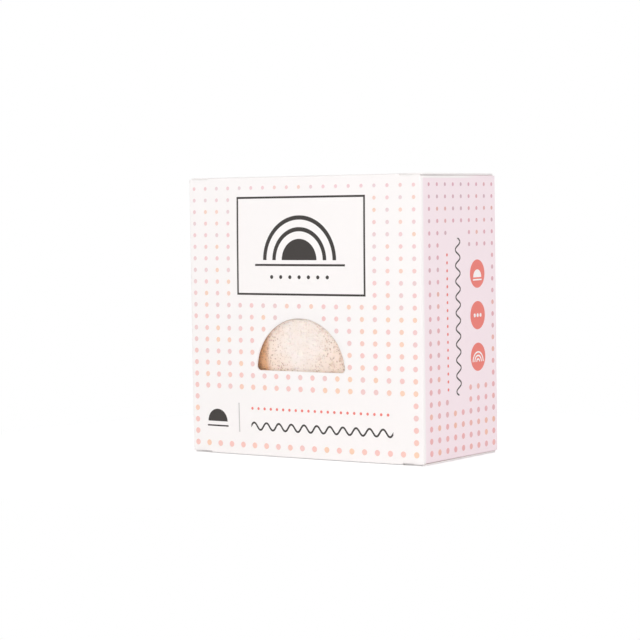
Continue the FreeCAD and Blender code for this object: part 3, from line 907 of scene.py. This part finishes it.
def board_piece(name, bm, origin, outward, up, face):
    """Put a folded sheet in its place and make it an object with its three finishes."""
    outward, up = Vector(outward), Vector(up)
    turn = Matrix((up.cross(outward), up, outward)).transposed().to_4x4()
    placed = Matrix.Scale(MM, 4) @ Matrix.Translation(origin) @ turn
    bmesh.ops.transform(bm, matrix=placed, verts=bm.verts[:])
    bm.normal_update()
    for side in bm.faces:
        side.smooth = True
    for edge in bm.edges:
        edge.smooth = edge.calc_face_angle(0) < SHARP
    mesh = bpy.data.meshes.new(name)
    bm.to_mesh(mesh)
    bm.free()
    for material in (face, board_inside, board_edge):
        mesh.materials.append(material)
    piece = bpy.data.objects.new(name, mesh)
    bpy.context.scene.collection.objects.link(piece)
    print(f"{name}: {len(mesh.polygons)} faces")
    return piece


print("board rims are rounded by", RIM_ROUND, "mm")

# %% [markdown]
# The front panel is pushed out by the sponge: it bows by over a millimetre in the middle
# and by half of that along its free edges. A hole cut out of a plain grid would leave long
# thin faces round the window, and the bow would show creases there. So the mesh is a ring
# between the half-moon and the panel's edge. The half-moon is drawn as with compasses, by
# spinning a point round each arc's centre, and then stretched a little to its left end.

# %% Front panel's outline
FRONT_DROP = 0.15
RING_STEPS, ARC_STEPS, ARC_CORNER_STEPS, SIDE_STEPS = 12, 61, 6, 26
HALF_FOLD = FOLD_RADIUS * EIGHTH


def spin_arcs(bm, start, arcs):
    """Draw arcs one after the other; an arc is (centre, angle, steps). Gives the last point."""
    last = start
    for centre, angle, steps in arcs:
        spun = bmesh.ops.spin(bm, geom=[last], cent=(*centre, 0), axis=(0, 0, 1), angle=angle, steps=steps)
        last = next(item for item in spun["geom_last"] if isinstance(item, bmesh.types.BMVert))
    return last


def draw_window(bm):
    """Draw the half-moon's outline and give its edges."""
    foot = math.sqrt((WINDOW_RADIUS - WINDOW_CORNER) ** 2 - WINDOW_CORNER ** 2)
    lean = math.atan2(WINDOW_CORNER, foot)
    first = bm.verts.new((foot, WINDOW_SILL, 0))
    last = spin_arcs(bm, first, (
        ((foot, WINDOW_SILL + WINDOW_CORNER), QUARTER + lean, ARC_CORNER_STEPS),
        ((0, WINDOW_SILL), math.pi - 2 * lean, ARC_STEPS),
        ((-foot, WINDOW_SILL + WINDOW_CORNER), QUARTER + lean, ARC_CORNER_STEPS)))
    sill = bm.edges.new((last, first))
    bmesh.ops.scale(bm, vec=(WINDOW_STRETCH, 1, 1), space=Matrix.Translation((-WINDOW_RADIUS, 0, 0)),
                    verts=bm.verts[:])
    sill_steps = 4 * SIDE_STEPS - ARC_STEPS - 2 * ARC_CORNER_STEPS
    bmesh.ops.subdivide_edges(bm, edges=[sill], cuts=sill_steps - 1)
    return bm.edges[:]


def front_sheet():
    """Bridge the half-moon and the panel's edge, which have as many steps each."""
    bm = bmesh.new()
    inner = draw_window(bm)
    reach = RIGHT - FOLD_RADIUS + HALF_FOLD
    low, high = FRONT_DROP, HEIGHT - FRONT_DROP
    corners = [bm.verts.new((across, up, 0)) for across, up in
               ((-reach, low), (reach, low), (reach, high), (-reach, high))]
    outer = [bm.edges.new((corners[number - 1], corners[number])) for number in range(4)]
    bmesh.ops.subdivide_edges(bm, edges=outer, cuts=SIDE_STEPS - 1)
    outer = [edge for edge in bm.edges if edge not in set(inner)]
    rays = bmesh.ops.bridge_loops(bm, edges=inner + outer)["edges"]
    bmesh.ops.subdivide_edges(bm, edges=rays, cuts=RING_STEPS, use_grid_fill=True)
    bm.normal_update()
    flipped = [face for face in bm.faces if face.normal.z < 0]
    bmesh.ops.reverse_faces(bm, faces=flipped)
    return bm


front_bm = front_sheet()
print("front ring has", len(front_bm.faces), "faces")

# %% Front panel
RELIEF_DROP, RELIEF_START = 0.5, 33.0
BOW_EDGE, BOW_MIDDLE = 0.674, 0.762
RIM_CLEAR = 0.1
UPRIGHT, OUT_FRONT, OUT_BACK = (0, 0, 1), (0, -1, 0), (0, 1, 0)
OUT_RIGHT, OUT_LEFT = (1, 0, 0), (-1, 0, 0)


def bow(across, height):
    """How far the front panel stands out, in millimetres."""
    share_across = min(max(across / WIDTH + 0.5, 0), 1)
    share_up = min(max(height / HEIGHT, 0), 1)
    hump_across = 4 * share_across * (1 - share_across)
    hump_up = 4 * share_up * (1 - share_up)
    return hump_across * (BOW_EDGE + BOW_MIDDLE * hump_up)


def relieve_corners(bm):
    """Cut the corners of the free edges back a little, clear of the lids' ears."""
    score(bm, ACROSS, (-RELIEF_START, RELIEF_START))
    score(bm, UP, (RELIEF_DROP, HEIGHT - RELIEF_DROP))
    spare = []
    for face in bm.faces:
        middle = face.calc_center_median()
        if abs(middle.x) > RELIEF_START and abs(middle.y - HEIGHT / 2) > HEIGHT / 2 - RELIEF_DROP:
            spare.append(face)
    bmesh.ops.delete(bm, geom=spare, context="FACES")


relieve_corners(front_bm)
edge_start = RIGHT - FOLD_RADIUS
for way in (-1, 1):
    score(front_bm, ACROSS, fold_lines(way * edge_start, EIGHTH, way)[:-1])
thicken(front_bm, free=lambda place: abs(place.x) < edge_start - RIM_CLEAR)
for way in (-1, 1):
    roll(front_bm, ACROSS, way * edge_start, EIGHTH, way)
for spot in front_bm.verts:
    spot.co.z += bow(spot.co.x, spot.co.y)
front_board = board_piece("front_board", front_bm, (0, -BACK, 0), OUT_FRONT, UPRIGHT, front_face)
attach(front_board, "sleeve")
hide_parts("front_panel")
print("front bows by", round(bow(0, HEIGHT / 2), 2), "mm")

# %% [markdown]
# The other walls are plain sheets with half a rounded fold at each corner, where they
# meet their neighbours on the mitre. The side walls stop where the dust flaps' creases
# begin, apart from a narrow tab at each corner. The left wall ends in a cut edge over the
# glued seam, and the back wall turns into the glue flap behind it.

# %% Side walls
LID_GAP, CREASE_TAB, SEAM_SETBACK = 0.2, 0.9, 0.3
DUST_LEVEL = BOARD + LID_GAP

side_start = BACK - FOLD_RADIUS
side_reach = side_start + HALF_FOLD


def upright_wall(name, corners, folds, origin, outward, face, node):
    """Make a wall; folds are (line, way) of its half folds."""
    bm = cut_sheet(corners)
    for line, way in folds:
        score(bm, ACROSS, fold_lines(line, EIGHTH, way)[:-1])
    thicken(bm)
    for line, way in folds:
        roll(bm, ACROSS, line, EIGHTH, way)
    piece = board_piece(name, bm, origin, outward, UPRIGHT, face)
    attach(piece, "sleeve")
    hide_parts(node)


def side_corners(left, right):
    """Give a side wall's outline, with its corner tabs beside the creases."""
    low, high = DUST_LEVEL, HEIGHT - DUST_LEVEL
    start, stop = low + FOLD_RADIUS, high - FOLD_RADIUS
    inner = BACK - CREASE_TAB
    return [(left, low), (-inner, low), (-inner, start), (inner, start), (inner, low), (right, low),
            (right, high), (inner, high), (inner, stop), (-inner, stop), (-inner, high), (left, high)]


upright_wall("right_side_board", side_corners(-side_reach, side_reach),
             ((-side_start, -1), (side_start, 1)), (RIGHT, 0, 0), OUT_RIGHT, right_face, "right_side_panel")
upright_wall("left_side_board", side_corners(SEAM_SETBACK - BACK, side_reach), ((side_start, 1),),
             (-RIGHT, 0, 0), OUT_LEFT, left_face, "left_side_panel")

# %% Back wall and glue flap
SEAM_GLUE = 0.1
SEAM_STEP = BOARD + SEAM_GLUE
GLUE_WIDTH, GLUE_END, GLUE_TAPER, GLUE_SHOULDER = 12.0, 3.0, 4.0, 1.2

seam_start = RIGHT - SEAM_STEP - FOLD_RADIUS
back_left, back_right = -edge_start - HALF_FOLD, seam_start + HALF_FOLD
back_low, back_high = FOLD_RADIUS, HEIGHT - FOLD_RADIUS
back_corners = [(back_left, back_low), (back_right, back_low),
                (back_right, back_high), (back_left, back_high)]
upright_wall("back_board", back_corners, ((-edge_start, -1), (seam_start, 1)), (0, BACK, 0), OUT_BACK,
             back_face, "back_panel")
glue_half = [(-side_reach, back_low), (-side_start, back_low), (GLUE_SHOULDER - side_start, GLUE_END),
             (GLUE_WIDTH - BACK, GLUE_END + GLUE_TAPER)]
glue_corners = glue_half + [(across, HEIGHT - up) for across, up in glue_half[::-1]]
upright_wall("glue_flap_board", glue_corners, ((-side_start, -1),), (SEAM_STEP - RIGHT, 0, 0), OUT_LEFT,
             flap_face, "glue_flap")

# %% [markdown]
# Each end closes with two dust flaps, a lid and its tuck flap. A flap that only turned
# about its crease would open a gap there. So its sheet starts on the wall that carries it
# and holds the whole crease.

# %% Folded flap
FREE_FROM = 0.05
PUFF, PUFF_REACH, PUFF_BEND = 0.16, 5.0, 0.2
PUFF_LEAST, PUFF_FROM, PUFF_FULL = 0.4, -14, 12
PUFF_STEP, PUFF_COLUMNS, PUFF_ROWS = 3, 6, 5

crease = FOLD_RADIUS * QUARTER


def soft_step(value, start, end):
    """Rise softly from 0 at the start to 1 at the end."""
    share = min(max((value - start) / (end - start), 0), 1)
    return share * share * (3 - 2 * share)


def puff_crease(bm, rear):
    """Swell the board along the crease, more towards the rear, where the lid holds it less."""
    score(bm, ACROSS, [PUFF_STEP * column for column in range(-PUFF_COLUMNS, PUFF_COLUMNS + 1)])
    score(bm, UP, [crease + PUFF_REACH * row / PUFF_ROWS for row in range(1, PUFF_ROWS + 1)])
    for spot in bm.verts:
        along = soft_step(spot.co.y, 0, crease) - soft_step(spot.co.y, crease, crease + PUFF_REACH)
        bend = math.sin(math.pi * min(max(spot.co.y / crease, 0), 1)) ** 2
        loose = PUFF_LEAST + (1 - PUFF_LEAST) * soft_step(rear * spot.co.x, PUFF_FROM, PUFF_FULL)
        spot.co.z += PUFF * along * loose + PUFF_BEND * bend


def folded_flap(name, corners, angle, origin, outward, up, face, node, rear=0):
    """Make a flap whose sheet starts at its crease."""
    bm = cut_sheet(corners)
    score(bm, UP, fold_lines(0, angle)[1:])
    if rear:
        puff_crease(bm, rear)
    thicken(bm, free=lambda place: place.y > FREE_FROM)
    roll(bm, UP, 0, angle)
    piece = board_piece(name, bm, origin, outward, up, face)
    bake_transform(piece)
    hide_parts(node)


print("a crease takes", round(crease, 2), "mm of a flap's sheet")

# %% [markdown]
# The lid is creased to the back and ends in the tuck flap, which leans inwards a little so
# that it slips behind the front panel. Two slits beside their crease leave the lid its
# ears. The dust flaps lie under the lid. Their front edges leave room for the tuck flap,
# their rear edges slope clear of the lid's crease, and their own creases swell a little, as
# thick board does. A lid's outline is the same on both sides, so only half of it is given.

# %% Lids, tuck flaps and dust flaps
TUCK_CLEARANCE, TUCK_LENGTH, TUCK_LEAN = 0.25, 12.0, 12.0
TUCK_HALF, CREASE_HALF, LID_HALF, LID_STRIP = 38.5, 32.5, 39.9, 39.25
TUCK_CORNER, LID_CORNER, DUST_CORNER, SLIT = 6.0, 0.8, 3.0, 0.1
DUST_REACH, DUST_TIP_WIDTH, DUST_TAPER, DUST_RELIEF = 26.0, 11.0, 1.5, 0.9
DUST_FRONT_GAP, DUST_REAR_GAP, TAB_GAP = 2.4, 0.6, 0.05
DUST_FRONT, DUST_REAR = BACK - DUST_FRONT_GAP, BACK - BOARD - DUST_REAR_GAP

lid_front = -BACK + BOARD + TUCK_CLEARANCE
tuck_angle = math.radians(90 + TUCK_LEAN)
tuck_tangent = FOLD_RADIUS * math.tan(tuck_angle / 2)


def mirrored(half):
    """Give a whole outline from its right half, which runs up from the bottom."""
    return half + [(-corner[0], *corner[1:]) for corner in half[::-1]]


def close_lid(end, level, up, face):
    """Make one end's lid and its tuck flap."""
    lid_end = crease + (BACK - FOLD_RADIUS - lid_front)
    lid_corners = mirrored([(LID_STRIP, 0), (LID_STRIP, crease), (LID_HALF, crease + FOLD_RADIUS),
                            (LID_HALF, lid_end, LID_CORNER), (CREASE_HALF, lid_end),
                            (CREASE_HALF, lid_end - tuck_tangent)])
    lid_origin = (0, BACK, level - up[2] * FOLD_RADIUS)
    folded_flap(f"{end}_lid_board", lid_corners, QUARTER, lid_origin, OUT_BACK, up, face,
                f"{end}_lid")
    turn = FOLD_RADIUS * tuck_angle
    foot = turn + TUCK_LENGTH - tuck_tangent
    tuck_corners = mirrored([(CREASE_HALF, 0), (CREASE_HALF, turn + SLIT), (TUCK_HALF, turn + SLIT),
                             (TUCK_HALF, foot, TUCK_CORNER)])
    tuck_origin = (0, lid_front + tuck_tangent, level)
    folded_flap(f"{end}_tuck_board", tuck_corners, tuck_angle, tuck_origin, up, OUT_FRONT, flap_face,
                f"{end}_tuck_flap")


def close_dust(end, level, up, faces):
    """Make one end's two dust flaps."""
    tip = crease + DUST_REACH - FOLD_RADIUS
    strip = BACK - CREASE_TAB - TAB_GAP
    outline = [(strip, 0), (strip, crease), (DUST_FRONT, crease + DUST_RELIEF),
               (DUST_FRONT - DUST_TAPER, tip, DUST_CORNER),
               (DUST_FRONT - DUST_TAPER - DUST_TIP_WIDTH, tip, DUST_CORNER),
               (-DUST_REAR, crease + DUST_RELIEF), (-strip, crease), (-strip, 0)]
    for side, outward, face in zip(("left", "right"), (OUT_LEFT, OUT_RIGHT), faces):
        front = -up[2] * outward[0]
        corners = [(front * corner[0], *corner[1:]) for corner in outline]
        origin = (outward[0] * RIGHT, 0, level - up[2] * (DUST_LEVEL + FOLD_RADIUS))
        flap = f"{end}_{side}_dust_flap"
        folded_flap(f"{end}_{side}_dust_board", corners, QUARTER, origin, outward, up, face,
                    flap, rear=-front)


for end, level, up, lid_face, dust_faces in (
        ("top", HEIGHT, (0, 0, 1), top_lid_face, top_dust_faces),
        ("bottom", 0, (0, 0, -1), bottom_lid_face, bottom_dust_faces)):
    close_lid(end, level, up, lid_face)
    close_dust(end, level, up, dust_faces)

# %% [markdown]
# The strip of glue in the seam is hidden between the left wall and the glue flap. Its
# solid is right as it is, and only gets the look of dried glue.

# %% Seam glue
GLUE_DARK, GLUE_PALE, GLUE_STREAKS = ink(236, 228, 206), ink(246, 241, 228), 600.0
GLUE_SMOOTH, GLUE_ROUGH = 0.3, 0.55

glue_finish, tree, shader = new_finish("dried seam glue")
place = add_node(tree, "ShaderNodeTexCoord").outputs["Object"]
streaks = add_node(tree, "ShaderNodeTexNoise", Vector=place, Scale=GLUE_STREAKS).outputs[0]
connect(tree, mix(tree, streaks, GLUE_DARK, GLUE_PALE), shader["Base Color"])
connect(tree, ramp(tree, streaks, GRAIN_LOW, GRAIN_HIGH, GLUE_SMOOTH, GLUE_ROUGH), shader["Roughness"])
glue_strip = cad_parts["seam_adhesive"]
glue_strip.data.materials.clear()
glue_strip.data.materials.append(glue_finish)
print("glue strip:", len(glue_strip.data.polygons), "faces")

# %% [markdown]
# ## Sponge
# A konjac sponge is a springy foam with a fine, pitted skin. Its form is a half-ball with
# a rounded rim: the section is drawn with compasses and spun. The spun mesh crowds at the
# poles, and pits pressed into it would be ragged there, so it is remeshed into even
# squares first.

# %% Sponge form
sponge_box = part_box("konjac_sponge")
SPONGE_RADIUS = (sponge_box[1].x - sponge_box[0].x) / 2 / MM
SPONGE_REAR, SPONGE_FRONT = sponge_box[1].y / MM, sponge_box[0].y / MM
SPONGE_CENTRE = (sponge_box[0].z + sponge_box[1].z) / 2 / MM
RIM_RADIUS, CROWN_ANGLE = 7.0, math.radians(35)
DOME_STEPS, RIM_ARC_STEPS, SPIN_STEPS = 24, 12, 96
VOXEL, WELD = 0.43, 0.001


def sponge_section(bm):
    """Draw half the sponge's section from the crown to the middle of its flat back."""
    thickness = SPONGE_REAR - SPONGE_FRONT
    sine, cosine = math.sin(CROWN_ANGLE), math.cos(CROWN_ANGLE)
    flat = (1 - cosine) / sine
    shoulder = (thickness - RIM_RADIUS - SPONGE_RADIUS * flat) / (cosine - (1 - sine) * flat)
    crown = (SPONGE_RADIUS - shoulder * (1 - sine)) / sine
    last = spin_arcs(bm, bm.verts.new((0, SPONGE_FRONT, 0)), (
        ((0, SPONGE_FRONT + crown), CROWN_ANGLE, DOME_STEPS),
        ((SPONGE_RADIUS - shoulder, SPONGE_REAR - RIM_RADIUS), QUARTER - CROWN_ANGLE, DOME_STEPS),
        ((SPONGE_RADIUS - RIM_RADIUS, SPONGE_REAR - RIM_RADIUS), QUARTER, RIM_ARC_STEPS)))
    bm.edges.new((last, bm.verts.new((0, SPONGE_REAR, 0))))


def sponge_mesh():
    """Spin the section and remesh it evenly."""
    bm = bmesh.new()
    sponge_section(bm)
    bmesh.ops.spin(bm, geom=bm.verts[:] + bm.edges[:], cent=(0, 0, 0), axis=(0, 1, 0), angle=2 * math.pi,
                   steps=SPIN_STEPS, use_merge=True)
    bmesh.ops.remove_doubles(bm, verts=bm.verts[:], dist=WELD)
    bmesh.ops.recalc_face_normals(bm, faces=bm.faces[:])
    mesh = bpy.data.meshes.new("sponge section")
    bm.to_mesh(mesh)
    bm.free()
    rough = bpy.data.objects.new("rough sponge", mesh)
    bpy.context.scene.collection.objects.link(rough)
    even = rough.modifiers.new("even squares", "REMESH")
    even.mode, even.voxel_size = "VOXEL", VOXEL
    graph = bpy.context.evaluated_depsgraph_get()
    made = bpy.data.meshes.new_from_object(rough.evaluated_get(graph), depsgraph=graph)
    bpy.data.objects.remove(rough)
    return made


sponge_data = sponge_mesh()
print("sponge has", len(sponge_data.polygons), "squares")

# %% [markdown]
# The dome is pushed towards the bowed front panel and flattens softly against it. Then the
# pits are pressed in: each point sinks along its normal where a scattered pore lies. Which
# cells hold a pore, and how large it is, comes from the cell's own seed, so every run gives
# the same sponge. Each point keeps how deep in a pore it lies, for the finish.

# %% Pits
# A layer is (spacing in mm, share of cells with a pore, pore radius as a share, depth in mm).
PIT_LAYERS = ((2.6, 0.55, 0.34, 0.50), (1.5, 0.60, 0.38, 0.30))
CHANCE_SEED, SIZE_SEED, SMALLEST, SIZE_RANGE = 7.31, 3.77, 0.55, 0.45
SKIN_SWELL, SKIN_SPACING = 0.12, 3.5
PUSH, PRESS_GAP, PRESS_SOFT = 7.0, 0.5, 1.6


def pit_depth(place):
    """Give how deep the skin is pitted at a place, in millimetres, and how much painted shade its pore
    gets.
    """
    depth = dark = 0.0
    for spacing, share, size, deepest in PIT_LAYERS:
        away, seeds = noise.voronoi(place / spacing)
        if abs(noise.cell(seeds[0] * CHANCE_SEED)) < share:
            reach = size * (SMALLEST + SIZE_RANGE * abs(noise.cell(seeds[0] * SIZE_SEED)))
            cup = max(0.0, 1 - (away[0] / reach) ** 2)
            depth += deepest * cup
            dark = max(dark, cup)
    return depth, dark


def pressed(place):
    """Push a point of the dome forward, up to the bowed front panel."""
    middle = SPONGE_REAR - RIM_RADIUS
    pushed = place.y - PUSH * min(max((middle - place.y) / (middle - SPONGE_FRONT), 0), 1)
    wall = PRESS_GAP + BOARD - BACK - bow(place.x, place.z + SPONGE_CENTRE)
    return (pushed + wall + math.hypot(pushed - wall, PRESS_SOFT)) / 2


def pit_skin(mesh):
    """Press the dome and its pits, and put the sponge in its place."""
    bm = bmesh.new()
    bm.from_mesh(mesh)
    bm.normal_update()
    # The pore attribute carries the painted shade of the pits to the finish.
    pore = bm.verts.layers.float.new("pore")
    for spot in bm.verts:
        spot.co.y = pressed(spot.co)
        depth, spot[pore] = pit_depth(spot.co)
        swell = SKIN_SWELL * noise.noise(spot.co / SKIN_SPACING)
        spot.co += spot.normal * (swell - depth)
    standing = Matrix.Scale(MM, 4) @ Matrix.Translation((0, 0, SPONGE_CENTRE))
    bmesh.ops.transform(bm, matrix=standing, verts=bm.verts[:])
    for face in bm.faces:
        face.smooth = True
    bm.to_mesh(mesh)
    bm.free()


pit_skin(sponge_data)
sponge = bpy.data.objects.new("konjac_sponge_ball", sponge_data)
bpy.context.scene.collection.objects.link(sponge)
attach(sponge, "sponge")
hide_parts("konjac_sponge")
print("sponge front at", round(min(spot.co.y for spot in sponge_data.vertices) / MM, 2), "mm")

# %% [markdown]
# The foam is pale, warm and a little translucent. In the middle of the window, where its
# pores are nearly closed, it is painted paler: painted light where the pressed crown is lit
# most. It warms towards the window's edge, and the tan patch at the lower left is painted
# shade, where the window's edge shades the foam. A finer mesh could hold more pores, but it
# would grow heavy, so the finest ones are scattered cells in the finish: they dent the normal,
# and their dark colour is painted shade in the pores. The pits of the mesh are darkened
# through their own attribute, as painted shade.

# %% Pores of the foam
# A layer is (cells per metre, distance where a pore is full, distance where it ends).
PORE_LAYERS = ((1000.0, 0.14, 0.36), (1700.0, 0.16, 0.38))
CELL_EMPTY, CELL_PORED = 0.25, 0.3

foam, tree, shader = new_finish("konjac foam")
place = add_node(tree, "ShaderNodeTexCoord").outputs["Object"]
spot = add_node(tree, "ShaderNodeSeparateXYZ", Vector=place).outputs
pores = []
for scale, full, end in PORE_LAYERS:
    cells = add_node(tree, "ShaderNodeTexVoronoi", Vector=place, Scale=scale).outputs
    chance = add_node(tree, "ShaderNodeSeparateColor", Color=cells["Color"]).outputs[0]
    pores.append(all_of(tree, ramp(tree, cells["Distance"], end, full),
                        ramp(tree, chance, CELL_EMPTY, CELL_PORED)))
fine_pores = any_of(tree, *pores)
pits = tree.nodes.new("ShaderNodeAttribute")
pits.attribute_name = "pore"
print("pores in", len(pores), "sizes")

# %% Colours of the foam
# Painted light: the two palest colours make the foam paler in the window's middle, where the pressed crown
# is lit most.
FOAM_PAINTED_LIGHT, FOAM_PAINTED_LIGHTEST = ink(252, 238, 229), ink(255, 244, 237)
# The warm cream is the foam's own colour; the tan is painted shade for the lower left, and the hole colour
# is painted shade in the pores.
FOAM_WARM, FOAM_PAINTED_SHADE, FOAM_PORE_SHADE = ink(251, 229, 214), ink(225, 173, 132), ink(184, 150, 128)
BLOTCHES, BLOTCH_LOW, BLOTCH_HIGH = 160.0, 0.35, 0.65
CROWN_ACROSS, CROWN_UP = 12.0, SPONGE_CENTRE - 8.0
# Reaches from the crown point, in mm: the painted light fades between the first and the last, and the
# painted shade rises between the second and the last, below the given heights.
CROWN_PALE, SHADE_START_REACH, LIGHT_GONE_SHADE_FULL = 17.0, 23.0, 25.6
SHADE_BELOW, NO_SHADE_ABOVE = 43.0, 58.0
MIDDLE_ACROSS, MIDDLE_UP = 0.0, 33.0
PORES_CLOSED, PORES_OPEN, EDGE_WARM, CLOSED_SHARE = 4.0, 11.0, 14.5, 0.15
# Shares of painted shade in the fine pores and in the pits.
FINE_PORE_SHADE, PIT_SHADE = 0.6, 0.3

from_crown, from_middle = (
    distance(tree, calc(tree, "SUBTRACT", spot["X"], across * MM),
             calc(tree, "SUBTRACT", spot["Z"], up * MM))
    for across, up in ((CROWN_ACROSS, CROWN_UP), (MIDDLE_ACROSS, MIDDLE_UP)))
blotch = add_node(tree, "ShaderNodeTexNoise", Vector=place, Scale=BLOTCHES).outputs[0]
# Painted light on the window's middle, with random blotches.
crown = mix(tree, ramp(tree, blotch, BLOTCH_LOW, BLOTCH_HIGH), FOAM_PAINTED_LIGHT, FOAM_PAINTED_LIGHTEST)
# The painted light fades towards the window's edges, to the foam's own cream.
light_fade = any_of(tree, ramp(tree, from_crown, CROWN_PALE * MM, LIGHT_GONE_SHADE_FULL * MM),
                ramp(tree, from_middle, PORES_CLOSED * MM, EDGE_WARM * MM))
cream_and_painted_light = mix(tree, light_fade, crown, FOAM_WARM)
# Painted shade: a tan patch at the lower left, where the window's edge shades the foam.
painted_shade_patch = all_of(tree, ramp(tree, from_crown, SHADE_START_REACH * MM, LIGHT_GONE_SHADE_FULL * MM),
                 ramp(tree, spot["Z"], NO_SHADE_ABOVE * MM, SHADE_BELOW * MM))
skin = mix(tree, painted_shade_patch, cream_and_painted_light, FOAM_PAINTED_SHADE)
# Painted shade in the pores and pits, weaker in the window's middle where the crown is pressed.
opened = ramp(tree, from_middle, PORES_CLOSED * MM, PORES_OPEN * MM, CLOSED_SHARE, 1.0)
pore_shade = any_of(tree, calc(tree, "MULTIPLY", fine_pores, FINE_PORE_SHADE),
               calc(tree, "MULTIPLY", pits.outputs["Fac"], PIT_SHADE))
connect(tree, mix(tree, all_of(tree, opened, pore_shade), skin, FOAM_PORE_SHADE), shader["Base Color"])
print("foam warms", EDGE_WARM, "mm from the window's middle")

# %% Sponge finish
FOAM_SMOOTH, FOAM_ROUGH, FOAM_GLOSS = 0.78, 0.95, 0.25
LIGHT_SHARE, LIGHT_SPREAD, LIGHT_REACH = 0.15, (1.0, 0.4, 0.2), 2.0

connect(tree, ramp(tree, fine_pores, 0.0, 1.0, FOAM_SMOOTH, FOAM_ROUGH), shader["Roughness"])
shader["Specular IOR Level"].default_value = FOAM_GLOSS
shader["Subsurface Weight"].default_value = LIGHT_SHARE
shader["Subsurface Radius"].default_value = LIGHT_SPREAD
shader["Subsurface Scale"].default_value = LIGHT_REACH * MM
raise_grain(tree, shader, calc(tree, "SUBTRACT", 1.0, fine_pores), strength=0.6, depth=0.25)
sponge_data.materials.clear()
sponge_data.materials.append(foam)
print("foam has", len(tree.nodes), "nodes")
